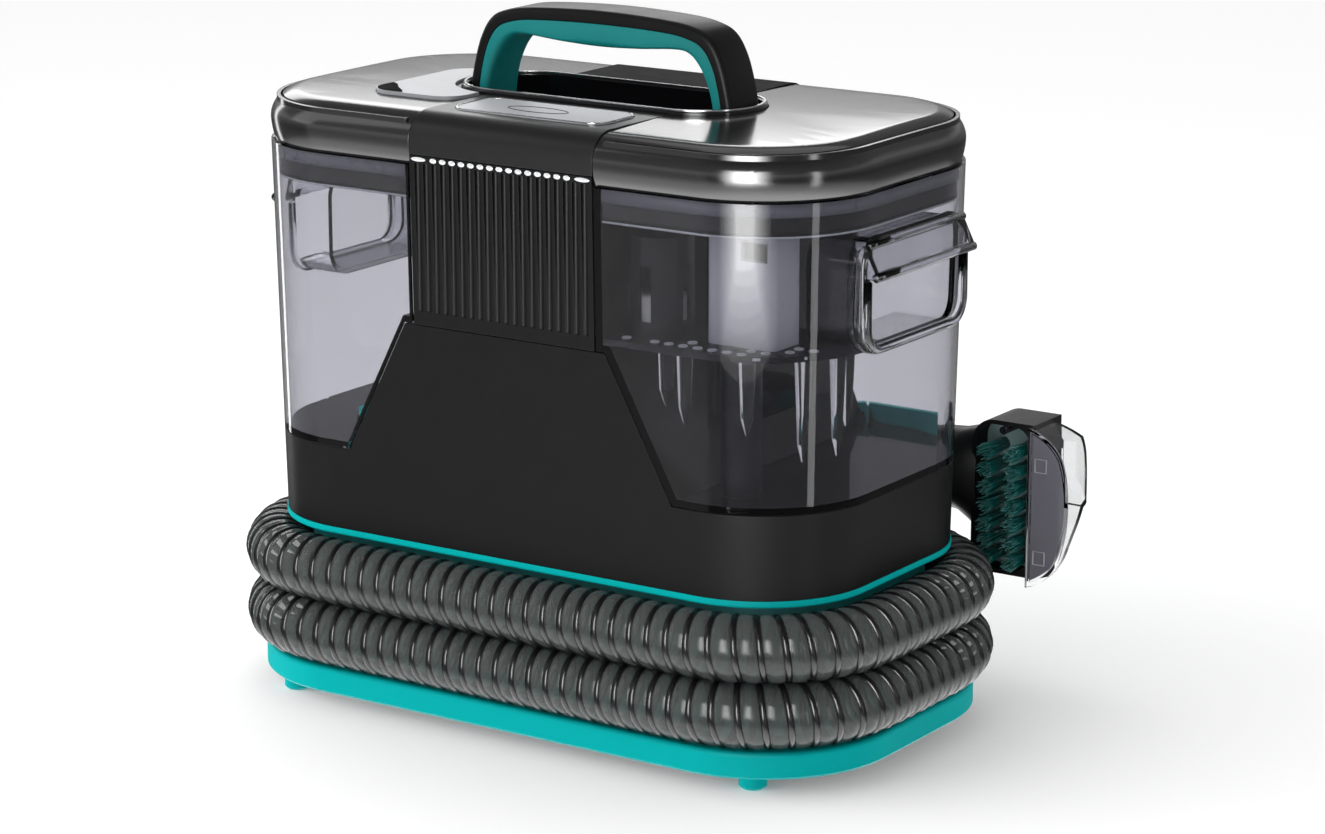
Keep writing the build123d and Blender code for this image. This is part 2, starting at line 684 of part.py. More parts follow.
with BuildPart() as separator:
    add(body_prism(plate_low, plate_high, tank_wall + 0.1))
    add(tank_plan(1, -tank_wall - 0.1, plate_low, plate_high), mode=Mode.INTERSECT)
    add(slab(0, 200, -100, plate_back, 0, 400), mode=Mode.INTERSECT)
    add(cylinder_z(8.5, *standpipe_spot, 0, 400), mode=Mode.SUBTRACT)
    with BuildSketch(Plane.XY.offset(plate_low)):
        with Locations((96.0, -56.0)):
            with GridLocations(7.0, 7.0, 12, 6):
                Circle(1.6)
        for spot in (standpipe_spot, cage_spot):
            with Locations(spot):
                Circle(16.0, mode=Mode.SUBTRACT)
    extrude(amount=plate_high - plate_low, mode=Mode.SUBTRACT)
    add(grip_box(1, grip_wall + 0.3, body_length / 2 - grip_depth - grip_wall - 0.3, 160), mode=Mode.SUBTRACT)
save(separator.part, "separator_plate")

tube_radius = 3.6
tube_taper = 2.2
point_length = 7.0
tube_tips = [
    (133.0, -58.0, 138.0),
    (133.0, -31.0, 135.0),
    (126.0, -43.0, 148.0),
    (132.5, -23.0, 146.0),
    (84.0, -70.0, 150.0),
    (112.0, -67.0, 148.0),
    (75.0, -70.0, 156.0),
]
with BuildPart() as drip_tubes:
    for x, y, tip in tube_tips:
        shoulder = tip + point_length
        with BuildSketch(Plane.XY.offset(plate_low)):
            with Locations((x, y)):
                Circle(tube_radius)
        extrude(amount=-(plate_low - shoulder), taper=tube_taper)
        shoulder_radius = tube_radius - (plate_low - shoulder) * tan(radians(tube_taper))
        with BuildSketch(Plane.XY.offset(shoulder)):
            with Locations((x, y)):
                Circle(shoulder_radius)
        extrude(amount=-point_length, taper=degrees(atan((shoulder_radius - 0.5) / point_length)))
save(drip_tubes.part, "drip_tubes")

# Deflector over the standpipe: a squared hood with a slot near its top, where dirty water comes in.
deflector_spot = (105.5, -52.0)
deflector_length = 33.0
deflector_depth = 21.0
deflector_top = 231.0
deflector_wall = 1.6
with BuildPart() as deflector:
    with BuildSketch(Plane.XY.offset(plate_high)):
        with Locations(deflector_spot):
            RectangleRounded(deflector_length, deflector_depth, 3.0)
    extrude(amount=deflector_top - plate_high)
    with BuildSketch(Plane.XY.offset(plate_high)):
        with Locations(deflector_spot):
            RectangleRounded(deflector_length - 2 * deflector_wall, deflector_depth - 2 * deflector_wall, 1.4)
    extrude(amount=deflector_top - deflector_wall - plate_high, mode=Mode.SUBTRACT)
    add(slab(106.0, 118.5, -65, -58, 220.0, 228.0), mode=Mode.SUBTRACT)
save(deflector.part, "inlet_deflector")

with BuildPart() as float_cage:
    add(cylinder_z(13.0, *cage_spot, plate_high, 226))
    add(cylinder_z(cage_bore, *cage_spot, plate_high - 1, 223), mode=Mode.SUBTRACT)
    add(slab(cage_spot[0] - 3, cage_spot[0] + 3, -80, -40, 190, 214), mode=Mode.SUBTRACT)
    add(slab(40, 90, cage_spot[1] - 3, cage_spot[1] + 3, 190, 214), mode=Mode.SUBTRACT)
save(float_cage.part, "float_cage")

with BuildPart() as float_body:
    add(cylinder_z(float_radius, *cage_spot, float_low, float_high))
    fillet(float_body.edges().filter_by(GeomType.CIRCLE), 2.0)
save(float_body.part, "shutoff_float")

save(lid_shell(1), "dirty_tank_lid")
save(skirt_seal(1), "dirty_lid_seal")

# ==== inside the body ==========================================================================
motor_x = 0.0
motor_y = 0.0
shaft_radius = 4.0
with BuildPart() as fan_housing:
    add(cylinder_z(46.0, motor_x, motor_y, 84.0, 112.0))
    add(cylinder_z(43.0, motor_x, motor_y, 87.0, 109.0), mode=Mode.SUBTRACT)
    add(cylinder_z(16.0, motor_x, motor_y, 80.0, 90.0), mode=Mode.SUBTRACT)
    add(cylinder_z(shaft_radius + 0.05, motor_x, motor_y, 80.0, 120.0), mode=Mode.SUBTRACT)
    add(slab(-60, -40, -9, 9, 92, 104), mode=Mode.SUBTRACT)
save(fan_housing.part, "fan_housing")

with BuildPart() as motor_can:
    add(cylinder_z(30.0, motor_x, motor_y, 112.0, 166.0))
    add(cylinder_z(22.5, motor_x, motor_y, 116.0, 162.0), mode=Mode.SUBTRACT)
    add(cylinder_z(shaft_radius + 0.05, motor_x, motor_y, 111.0, 167.0), mode=Mode.SUBTRACT)
save(motor_can.part, "motor_stator")

blade_count = 9
with BuildPart() as rotor:
    add(cylinder_z(shaft_radius, motor_x, motor_y, 90.0, 170.0))
    add(cylinder_z(22.0, motor_x, motor_y, 118.0, 160.0))
    add(cylinder_z(39.0, motor_x, motor_y, 104.5, 106.5))
    for index in range(blade_count):
        with BuildSketch(Plane.XY.offset(92.0)):
            with PolarLocations(24.0, 1, start_angle=index * 360 / blade_count):
                Rectangle(28.0, 1.6, rotation=35)
        extrude(amount=12.5)
save(rotor.part, "motor_rotor")

with BuildPart() as motor_mount:
    add(cylinder_z(33.0, motor_x, motor_y, 150.0, 160.0))
    add(cylinder_z(30.0, motor_x, motor_y, 149.0, 161.0), mode=Mode.SUBTRACT)
save(motor_mount.part, "motor_mount_ring")

pump_y = 46.0
plunger_radius = 5.0
with BuildPart() as pump:
    add(slab(-56, -24, pump_y - 16, pump_y + 16, 182, 214))
    add(cylinder_x(10.0, -24, -6, pump_y, 198))
    add(cylinder_x(plunger_radius + 0.05, -50, -5, pump_y, 198), mode=Mode.SUBTRACT)
save(pump.part, "pump_body")

with BuildPart() as plunger:
    add(cylinder_x(plunger_radius, -44, 0, pump_y, 198))
    add(cylinder_x(8.0, 0, 3, pump_y, 198))
save(plunger.part, "pump_plunger")

with BuildPart() as board:
    add(slab(18, 62, 50, 51.6, 186, 232))
    for x in (28.0, 40.0, 52.0):
        add(cylinder_z(4.0, x, 45.8, 200, 216))
save(board.part, "control_board")

# ==== back of the body =========================================================================
with BuildPart() as hose_port:
    add(cylinder_x(port_radius, 24.0, port_face, coil_depth / 2, turn_1_height))
    with BuildSketch(Plane.XZ.offset(-(waist_depth / 2 - wall))):
        with Locations((port_center_x, turn_1_height)):
            Circle(9.9)
    extrude(amount=-(coil_depth / 2 - waist_depth / 2 + wall))
    add(cylinder_x(10.5, port_center_x, port_face + 1, coil_depth / 2, turn_1_height), mode=Mode.SUBTRACT)
save(hose_port.part, "hose_port")

inlet_x = -60.0
inlet_z = 100.0
with BuildPart() as cord_inlet:
    with BuildSketch(Plane.XZ.offset(-78.0)):
        with Locations((inlet_x, inlet_z)):
            Circle(8.0)
            Circle(3.5, mode=Mode.SUBTRACT)
    extrude(amount=-5.0)
    add(body_prism(flange_top, deck_top, 0), mode=Mode.SUBTRACT)
save(cord_inlet.part, "cord_inlet")

cradle_x = (74.0, 120.0)
cradle_low = 84.0
cradle_high = 127.0
saddle_x = (80.0, 96.0)
saddle_bore = 18.2
handle_radius = 17.0
with BuildPart() as cradle:
    add(slab(*cradle_x, 82.0, 85.0, cradle_low, cradle_high))
    fillet(cradle.edges().filter_by(Axis.Y), 5.0)
    for x in (82.0, 112.0):
        for z in (92.0, 108.0):
            with BuildSketch(Plane.XZ.offset(-78.0)):
                with Locations((x, z)):
                    Circle(4.0)
            extrude(amount=-5.0)
    add(slab(*saddle_x, 84.0, 96.0, 84.0, 102.0))
    add(cylinder_x(saddle_bore + 3, *saddle_x, tool_y, tool_z))
    add(cylinder_x(saddle_bore, saddle_x[0] - 1, saddle_x[1] + 1, tool_y, tool_z), mode=Mode.SUBTRACT)
    add(slab(saddle_x[0] - 1, saddle_x[1] + 1, 92.0, 130.0, 103.0, 125.0), mode=Mode.SUBTRACT)
    add(body_prism(flange_top, deck_top, 0), mode=Mode.SUBTRACT)
save(cradle.part, "tool_cradle")

# ==== hand tool ================================================================================
with BuildPart() as tool_cuff:
    add(cylinder_x(hose_radius + 1.5, cuff_start, handle_start + 6, tool_y, tool_z))
    fillet(tool_cuff.edges().sort_by(Axis.X)[0], 1.0)
    add(cylinder_x(hose_radius - 3, cuff_start - 1, handle_start + 7, tool_y, tool_z), mode=Mode.SUBTRACT)
save(tool_cuff.part, "hose_cuff")

trigger_pin_x = 62.0
trigger_pin_y = tool_y + 15.0
trigger_x = (16.0, 66.0)


def tool_body(shrink, x_low):
    """The tool's grip: a long tube that widens a little towards the head."""
    with BuildPart() as body:
        with BuildSketch(Plane.YZ.offset(x_low)):
            with Locations((tool_y, tool_z)):
                Ellipse(hose_radius + 2.0 - shrink, hose_radius + 2.0 - shrink)
        with BuildSketch(Plane.YZ.offset(50.0)):
            with Locations((tool_y, tool_z)):
                Ellipse(15.5 - shrink, 15.5 - shrink)
        with BuildSketch(Plane.YZ.offset(neck_end)):
            with Locations((tool_y, tool_z)):
                Ellipse(handle_radius - shrink, handle_radius + 2 - shrink)
        loft()
    return body.part


with BuildPart() as grip_outer:
    add(tool_body(0, handle_start))

with BuildPart() as grip_inner:
    add(tool_body(2.5, handle_start - 0.01))
    add(cylinder_x(hose_radius + 1.55, handle_start - 1, handle_start + 6, tool_y, tool_z))

with BuildPart() as tool_front:
    add(grip_outer.part)
    add(grip_inner.part, mode=Mode.SUBTRACT)
    add(slab(-100, 200, 40, tool_y, 50, 150), mode=Mode.INTERSECT)
save(tool_front.part, "tool_handle_inner_half")

with BuildPart() as tool_rear:
    add(grip_outer.part)
    add(grip_inner.part, mode=Mode.SUBTRACT)
    add(slab(-100, 200, tool_y, 170, 50, 150), mode=Mode.INTERSECT)
    add(
        slab(trigger_x[0] - 0.6, trigger_x[1] + 0.6, tool_y + 8, 170, tool_z - 7.6, tool_z + 7.6),
        mode=Mode.SUBTRACT,
    )
    add(cylinder_z(1.5, trigger_pin_x, trigger_pin_y, tool_z - 9.5, tool_z + 9.5), mode=Mode.SUBTRACT)
save(tool_rear.part, "tool_handle_outer_half")

with BuildPart() as trigger:
    add(slab(trigger_x[0], trigger_x[1], tool_y + 12.5, tool_y + 18.5, tool_z - 7, tool_z + 7))
    fillet(trigger.edges().filter_by(Axis.Z), 2.4)
    add(cylinder_z(1.55, trigger_pin_x, trigger_pin_y, 50, 150), mode=Mode.SUBTRACT)
save(trigger.part, "spray_trigger")

with BuildPart() as trigger_pin:
    add(cylinder_z(1.5, trigger_pin_x, trigger_pin_y, tool_z - 9.5, tool_z + 9.5))
save(trigger_pin.part, "trigger_pin")

# Head of the tool: a black block with a brush that faces the body, and a clear suction mouth beside it.
head_x = (127.0, 158.0)
head_front = 96.0
head_back = 121.0
brush_plate_y = (106.0, 109.0)
tuft_columns = (137.5, 150.5)
tuft_rows = 7
tuft_pitch = 8.2
tuft_middle = 86.6
tuft_tip = 88.5
tuft_radius = 3.2
duct_room = (110.8, 118.2, 96.0, 109.0)
head_middle = (head_low + head_high) / 2

with BuildPart() as tool_head:
    with BuildSketch(Plane.XZ.offset(-head_front)):
        with Locations(((head_x[0] + head_x[1]) / 2, head_middle)):
            Rectangle(head_x[1] - head_x[0], head_high - head_low)
        fillet(vertices().group_by(Axis.X)[0], 11.0)
    extrude(amount=-(head_back - head_front))
    with BuildSketch(Plane.YZ.offset(neck_end)):
        with Locations((tool_y, tool_z)):
            Ellipse(handle_radius, handle_radius + 2)
    with BuildSketch(Plane.YZ.offset(head_x[0] + 8)):
        with Locations(((head_front + head_back) / 2 + 1, head_middle + 3)):
            RectangleRounded(head_back - head_front - 3, head_high - head_low - 14, 9.0)
    loft()
    with BuildSketch(Plane.XZ.offset(-head_front + 1)):
        with Locations(((head_x[0] + head_x[1]) / 2, head_middle)):
            RectangleRounded(head_x[1] - head_x[0] - 4, head_high - head_low - 4, 8.0)
    extrude(amount=-(brush_plate_y[1] + 1 - head_front), mode=Mode.SUBTRACT)
    add(slab(neck_end - 1, head_x[1] + 1, *duct_room), mode=Mode.SUBTRACT)
save(tool_head.part, "tool_head")

with BuildPart() as brush_plate:
    with BuildSketch(Plane.XZ.offset(-brush_plate_y[0])):
        with Locations(((head_x[0] + head_x[1]) / 2, head_middle)):
            RectangleRounded(head_x[1] - head_x[0] - 4.2, head_high - head_low - 4.2, 7.9)
    extrude(amount=-(brush_plate_y[1] - brush_plate_y[0]))
    for x in tuft_columns:
        for row in range(tuft_rows):
            tuft_z = tuft_middle + (row - (tuft_rows - 1) / 2) * tuft_pitch
            with BuildSketch(Plane.XZ.offset(-brush_plate_y[0])):
                with Locations((x, tuft_z)):
                    Circle(tuft_radius)
            extrude(amount=-2.0, mode=Mode.SUBTRACT)
save(brush_plate.part, "brush_plate")

with BuildPart() as brush_tufts:
    for x in tuft_columns:
        for row in range(tuft_rows):
            tuft_z = tuft_middle + (row - (tuft_rows - 1) / 2) * tuft_pitch
            with BuildSketch(Plane.XZ.offset(-tuft_tip)):
                with Locations((x, tuft_z)):
                    Circle(tuft_radius)
            extrude(amount=-(brush_plate_y[0] + 2.0 - tuft_tip))
save(brush_tufts.part, "brush_tufts")


# Suction hood: clear, open to the front, D-shaped, and thinner towards its lower end.
hood_front = 90.0
hood_back = 120.5
hood_wall = 1.8
hood_arcs = [
    ((158.0, 124.0), (171.5, 116.5), (175.0, 111.5)),
    ((175.0, 111.5), (178.3, 93.0), (175.5, 71.0)),
    ((175.5, 71.0), (170.0, 59.0), (158.0, 51.5)),
]


def hood_block(shrink, front):
    """The suction hood's outer form, moved in by shrink and run forward to front: three outlines crossed."""
    start = front - shrink
    with BuildPart() as seen_from_front:
        with BuildSketch(Plane.XZ.offset(-hood_back)):
            with BuildLine():
                for start_point, through, end_point in hood_arcs:
                    ThreePointArc(start_point, through, end_point)
                Line(hood_arcs[-1][-1], hood_arcs[0][0])
            make_face()
            if shrink:
                offset(amount=-shrink, kind=Kind.INTERSECTION)
        extrude(amount=hood_back - front)
    with BuildPart() as seen_from_top:
        with BuildSketch(Plane.XY.offset(head_low - 10)):
            with BuildLine():
                Polyline((166.0, hood_back), (158.0, hood_back), (158.0, start), (180.0, start), (180.0, 104.0))
                ThreePointArc((180.0, 104.0), (174.0, 114.0), (166.0, hood_back))
            make_face()
            if shrink:
                offset(amount=-shrink, kind=Kind.INTERSECTION)
        extrude(amount=head_high - head_low + 20)
    with BuildPart() as seen_from_side:
        with BuildSketch(Plane.YZ.offset(head_x[1] - 10)):
            with BuildLine():
                Polyline(
                    (start, 45.0), (91.0, 45.0), (99.0, 76.0), (105.0, 88.0), (hood_back + 1, 96.0),
                    (hood_back + 1, 112.0), (104.0, 130.0), (start, 130.0), close=True,
                )
            make_face()
            if shrink:
                offset(amount=-shrink, kind=Kind.INTERSECTION)
        extrude(amount=50)
    with BuildPart() as block:
        add(seen_from_front.part)
        add(seen_from_top.part, mode=Mode.INTERSECT)
        add(seen_from_side.part, mode=Mode.INTERSECT)
    return block.part


with BuildPart() as tool_window:
    add(hood_block(0, hood_front))
    add(hood_block(hood_wall, hood_front - 5), mode=Mode.SUBTRACT)
    add(slab(head_x[1] - 1, head_x[1] + 3, *duct_room), mode=Mode.SUBTRACT)
save(tool_window.part, "suction_window")

nozzle_x = 144.0
nozzle_z = 120.6
with BuildPart() as nozzle:
    with BuildSketch(Plane.XZ.offset(-93.0)):
        with Locations((nozzle_x, nozzle_z)):
            Circle(1.9)
            Circle(0.5, mode=Mode.SUBTRACT)
    extrude(amount=-(brush_plate_y[0] - 93.0))
    add(tool_head.part, mode=Mode.SUBTRACT)
save(nozzle.part, "spray_nozzle")

# ==== hose =====================================================================================
coil_bottom = turn_1_height - hose_radius
coil_top = turn_2_height + hose_radius
with BuildPart() as coil_block:
    with BuildSketch(Plane.XY.offset(coil_bottom)):
        RectangleRounded(coil_length + hose_diameter, coil_depth + hose_diameter, coil_corner + hose_radius)
        RectangleRounded(
            coil_length - hose_diameter, coil_depth - hose_diameter, coil_corner - hose_radius, mode=Mode.SUBTRACT
        )
    extrude(amount=coil_top - coil_bottom)
    fillet(coil_block.faces().filter_by(Axis.Z).edges(), hose_radius - 1)

# The second turn leaves the coil on the left. Behind it, the first turn climbs to its level.
with BuildPart() as above_climb:
    with BuildSketch(Plane.XZ):
        with BuildLine():
            Polyline(
                (-300, turn_1_height + hose_radius),
                (climb_start, turn_1_height + hose_radius),
                (climb_end, coil_top),
                (climb_end, coil_top + 20),
                (-300, coil_top + 20),
                close=True,
            )
        make_face()
    extrude(amount=-150)

with BuildPart() as hose_coil:
    add(coil_block.part)
    add(above_climb.part, mode=Mode.SUBTRACT)
    add(slab(14, port_face, 50, 150, 0, turn_1_height + hose_radius), mode=Mode.SUBTRACT)
save(hose_coil.part, "hose_coil")

lead_route = [
    (-coil_length / 2, 0, turn_2_height),
    (-coil_length / 2, 20, turn_2_height),
    (-162, 48, 65.5),
    (-154, 82, 76),
    (-128, 103, 88),
    (-95, tool_y, tool_z),
    (cuff_start, tool_y, tool_z),
]


def bend_radii(route):
    """For each corner, an arc that uses 0.45 of the shorter run beside it."""
    radii = []
    for before, here, after in zip(route, route[1:], route[2:]):
        run_in = Vector(*here) - Vector(*before)
        run_out = Vector(*after) - Vector(*here)
        half_turn = radians(run_in.get_angle(run_out)) / 2
        radii.append(0.45 * min(run_in.length, run_out.length) / tan(half_turn))
    return radii


lead_radii = bend_radii(lead_route)
print("hose lead bend radii:", [round(r, 1) for r in lead_radii])
with BuildPart() as hose_lead:
    with BuildLine() as lead_line:
        FilletPolyline(*lead_route, radius=lead_radii)
    with BuildSketch(lead_line.line ^ 0):
        Circle(hose_radius)
    sweep()
lead_length = sum(edge.length for edge in lead_line.edges())
print("hose lead length", round(lead_length, 1), "volume over section times length",
      round(hose_lead.part.volume / (pi * hose_radius**2 * lead_length), 4))
save(hose_lead.part, "hose_lead")

# ==== ducts inside the body ====================================================================


def bent_tube(route, radius, bore):
    """A hollow tube along straight runs joined by arcs."""
    with BuildPart() as tube:
        with BuildLine() as line:
            FilletPolyline(*route, radius=bend_radii(route))
        with BuildSketch(line.line ^ 0):
            Circle(radius)
            Circle(bore, mode=Mode.SUBTRACT)
        sweep()
    return tube.part


recovery_route = [
    (port_center_x, waist_depth / 2 - wall, turn_1_height),
    (port_center_x, 25, turn_1_height),
    (62, -20, 52),
    (86, -34, 66),
    (*standpipe_spot, 79),
    (*standpipe_spot, deck_top - 14),
]
save(bent_tube(recovery_route, 9.5, 8.0), "recovery_duct")

water_route = [
    (*valve_spot, deck_top - 9),
    (*valve_spot, 96),
    (-80, 10, 88),
    (-56, 42, 110),
    (-30, pump_y, 140),
    (-30, pump_y, 182),
]
save(bent_tube(water_route, 3.4, 2.2), "water_tube")
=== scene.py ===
import json
import math
import random

import bmesh
import bpy
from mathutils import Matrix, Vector


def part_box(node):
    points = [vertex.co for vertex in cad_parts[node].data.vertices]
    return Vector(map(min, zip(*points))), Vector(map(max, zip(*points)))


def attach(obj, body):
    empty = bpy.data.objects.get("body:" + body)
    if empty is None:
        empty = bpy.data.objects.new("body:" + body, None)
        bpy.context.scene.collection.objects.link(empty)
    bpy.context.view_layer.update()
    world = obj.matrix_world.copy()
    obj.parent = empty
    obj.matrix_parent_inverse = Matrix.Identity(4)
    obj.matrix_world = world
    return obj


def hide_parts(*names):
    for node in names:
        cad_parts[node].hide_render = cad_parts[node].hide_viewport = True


# Portable carpet spot cleaner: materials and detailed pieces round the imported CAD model.
# Lengths are in metres, apart from the numbers that a comment says are in millimetres; MM is one millimetre.

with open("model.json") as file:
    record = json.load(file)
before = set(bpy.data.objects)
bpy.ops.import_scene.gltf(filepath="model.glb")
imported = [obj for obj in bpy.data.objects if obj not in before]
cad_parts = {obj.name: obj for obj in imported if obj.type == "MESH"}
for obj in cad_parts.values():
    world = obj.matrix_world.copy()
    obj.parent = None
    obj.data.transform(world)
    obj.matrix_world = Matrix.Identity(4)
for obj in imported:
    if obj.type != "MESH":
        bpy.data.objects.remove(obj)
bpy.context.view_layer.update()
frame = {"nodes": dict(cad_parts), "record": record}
MM = 0.001
nodes = frame["nodes"]


# ---- camera, stage and light --------------------------------------------------------------------
CAMERA_AZIMUTH = 33.7
CAMERA_ELEVATION = 14.15
CAMERA_DISTANCE = 1.717
CAMERA_LENS = 106.8
CAMERA_TARGET = Vector((25.7, 0.0, 129.7)) * MM

# What reflections see, from straight down (0) to straight up (1), before REFLECTED_STRENGTH.
REFLECTED_STRENGTH = 4.0
REFLECTED_LEVELS = [
    (0.0, 0.85), (0.19, 0.75), (0.29, 0.25), (0.34, 0.03), (0.41, 0.02),
    (0.5, 0.05), (0.58, 0.12), (0.66, 0.05), (1.0, 0.015),
]
ROOM_LEVEL = 1.08  # what the camera and all matt surfaces see

# A dark flag shades the front right corner: its azimuth and elevation, the share of the room's light that it
# lets by, and the cosine at which it is at its darkest.
FLAG_DIRECTION = (52.0, 8.0)
FLAG_LEVEL = 0.22
FLAG_EDGE = 0.85

FLOOR_REACH = 30.0
FLOOR_GLOW = 0.12  # keeps the paper nearly white where soft shadows overlap
CORNER_STRIPS = 8


def direction(azimuth, elevation):
    """The unit vector from the object towards a viewer; azimuth 0 is in front, at -Y, and 90 is at +X."""
    a, e = math.radians(azimuth), math.radians(elevation)
    return Vector((math.sin(a) * math.cos(e), -math.cos(a) * math.cos(e), math.sin(e)))


def make_camera():
    """The photo's camera: a long lens, slightly above the object and to its right."""
    camera = bpy.data.objects.new("camera", bpy.data.cameras.new("camera"))
    bpy.context.scene.collection.objects.link(camera)
    back = direction(CAMERA_AZIMUTH, CAMERA_ELEVATION)
    camera.location = CAMERA_TARGET + back * CAMERA_DISTANCE
    camera.rotation_euler = (-back).to_track_quat("-Z", "Y").to_euler()
    camera.data.lens = CAMERA_LENS
    camera.data.sensor_width = 36.0
    camera.data.clip_start = 0.05
    bpy.context.scene.camera = camera


def area_light(
    name, azimuth, elevation, distance, width, height, radiance, aim=(0, 0, 0.15), glossy_only=False,
):
    """A soft box that faces aim from the given direction.

    A glossy-only one shows in reflections and lights nothing.
    """
    data = bpy.data.lights.new(name, "AREA")
    data.shape = "RECTANGLE"
    data.size = width
    data.size_y = height
    data.energy = radiance * math.pi * width * height
    lamp = bpy.data.objects.new(name, data)
    bpy.context.scene.collection.objects.link(lamp)
    back = direction(azimuth, elevation)
    lamp.location = Vector(aim) + back * distance
    lamp.rotation_euler = back.to_track_quat("Z", "Y").to_euler()
    lamp.visible_camera = False
    if glossy_only:
        lamp.visible_diffuse = False
        lamp.visible_transmission = False
    return lamp


def make_world():
    """A white room with a dark flag.

    Reflections see a pale floor, a dark room and a faint band over the horizon.
    """
    world = bpy.data.worlds.new("studio")
    world.use_nodes = True
    tree = world.node_tree
    background = tree.nodes["Background"]
    place = tree.nodes.new("ShaderNodeTexCoord")
    parts = tree.nodes.new("ShaderNodeSeparateXYZ")
    tree.links.new(place.outputs["Generated"], parts.inputs["Vector"])
    height = tree.nodes.new("ShaderNodeMapRange")
    height.inputs["From Min"].default_value = -1.0
    tree.links.new(parts.outputs["Z"], height.inputs["Value"])
    ramp = tree.nodes.new("ShaderNodeValToRGB")
    ramp.color_ramp.interpolation = "EASE"
    for where, _ in REFLECTED_LEVELS[1:-1]:
        ramp.color_ramp.elements.new(where)
    for element, (where, level) in zip(ramp.color_ramp.elements, REFLECTED_LEVELS):
        element.position = where
        element.color = (level, level, level, 1.0)
    tree.links.new(height.outputs["Result"], ramp.inputs["Fac"])
    stronger = tree.nodes.new("ShaderNodeVectorMath")
    stronger.operation = "SCALE"
    stronger.inputs["Scale"].default_value = REFLECTED_STRENGTH
    tree.links.new(ramp.outputs["Color"], stronger.inputs[0])
    path = tree.nodes.new("ShaderNodeLightPath")
    choose = tree.nodes.new("ShaderNodeMix")
    choose.data_type = "RGBA"
    choose.inputs["A"].default_value = (ROOM_LEVEL, ROOM_LEVEL, ROOM_LEVEL, 1.0)
    tree.links.new(path.outputs["Glossy Depth"], choose.inputs["Factor"])
    tree.links.new(stronger.outputs["Vector"], choose.inputs["B"])
    facing = tree.nodes.new("ShaderNodeVectorMath")
    facing.operation = "DOT_PRODUCT"
    facing.inputs[1].default_value = direction(*FLAG_DIRECTION)
    tree.links.new(place.outputs["Generated"], facing.inputs[0])
    shade = tree.nodes.new("ShaderNodeMapRange")
    shade.inputs["From Max"].default_value = FLAG_EDGE
    shade.inputs["To Min"].default_value = 1.0
    shade.inputs["To Max"].default_value = FLAG_LEVEL
    tree.links.new(facing.outputs["Value"], shade.inputs["Value"])
    shaded = tree.nodes.new("ShaderNodeVectorMath")
    shaded.operation = "SCALE"
    tree.links.new(choose.outputs["Result"], shaded.inputs[0])
    tree.links.new(shade.outputs["Result"], shaded.inputs["Scale"])
    flagged = tree.nodes.new("ShaderNodeMix")
    flagged.data_type = "RGBA"
    tree.links.new(path.outputs["Is Diffuse Ray"], flagged.inputs["Factor"])
    tree.links.new(choose.outputs["Result"], flagged.inputs["A"])
    tree.links.new(shaded.outputs["Vector"], flagged.inputs["B"])
    tree.links.new(flagged.outputs["Result"], background.inputs["Color"])
    bpy.context.scene.world = world


def make_floor():
    """White paper that the object stands on and that its gloss doesn't mirror."""
    mesh = bpy.data.meshes.new("floor")
    corners = [(FLOOR_REACH * x, FLOOR_REACH * y, 0) for x, y in ((-1, -1), (1, -1), (1, 1), (-1, 1))]
    mesh.from_pydata(corners, [], [(0, 1, 2, 3)])
    floor = bpy.data.objects.new("floor", mesh)
    bpy.context.scene.collection.objects.link(floor)
    paper = bpy.data.materials.new("floor_paper")
    paper.use_nodes = True
    sockets = paper.node_tree.nodes["Principled BSDF"].inputs
    sockets["Base Color"].default_value = (0.98, 0.98, 0.98, 1.0)
    sockets["Roughness"].default_value = 0.8
    sockets["Specular IOR Level"].default_value = 0.1
    sockets["Emission Color"].default_value = (1.0, 1.0, 1.0, 1.0)
    sockets["Emission Strength"].default_value = FLOOR_GLOW
    mesh.materials.append(paper)
    floor.visible_glossy = False


def make_lights():
    """Soft boxes that light the object, and cards and strips that only show in its gloss."""
    area_light("top_box", azimuth=200.0, elevation=68.0, distance=1.3, width=1.0, height=0.8, radiance=0.55)
    area_light("left_box", azimuth=-60.0, elevation=30.0, distance=1.4, width=0.6, height=0.9, radiance=0.8)
    key = area_light(
        "front_left_key", azimuth=-42.0, elevation=36.0, distance=1.25, width=1.2, height=1.0, radiance=1.7
    )
    key.visible_glossy = False
    area_light(
        "front_card", azimuth=-34.0, elevation=-6.0, distance=2.0, width=1.3, height=1.2, radiance=0.25,
        glossy_only=True,
    )
    area_light(
        "back_card", azimuth=CAMERA_AZIMUTH + 180.0, elevation=23.6, distance=2.2, width=1.5, height=0.7,
        radiance=3.0, aim=(-0.33, -0.22, 0.15), glossy_only=True,
    )
    for name, azimuth in (("right_strip", 78.0), ("left_strip", -102.0)):
        area_light(
            name, azimuth, elevation=2.0, distance=1.3, width=0.14, height=0.9, radiance=3.5, glossy_only=True
        )
    # Strips one behind the other, each wider and dimmer, make one soft highlight on the tank's corner.
    for index in range(CORNER_STRIPS):
        bottom, top = 0.09 - 0.01 * index, 0.5 + 0.01 * index
        area_light(
            f"corner_strip_{index}", azimuth=16.0, elevation=0.0, distance=0.5 + 0.004 * index,
            width=0.15 + 0.045 * index, height=top - bottom, radiance=4.6 / (1 + 0.55 * index),
            aim=(0.118, -0.079, (top + bottom) / 2), glossy_only=True,
        )


def make_stage():
    """All that is round the object: the world, the floor and the lights."""
    bpy.context.scene.view_settings.view_transform = "Standard"
    make_world()
    make_floor()
    make_lights()


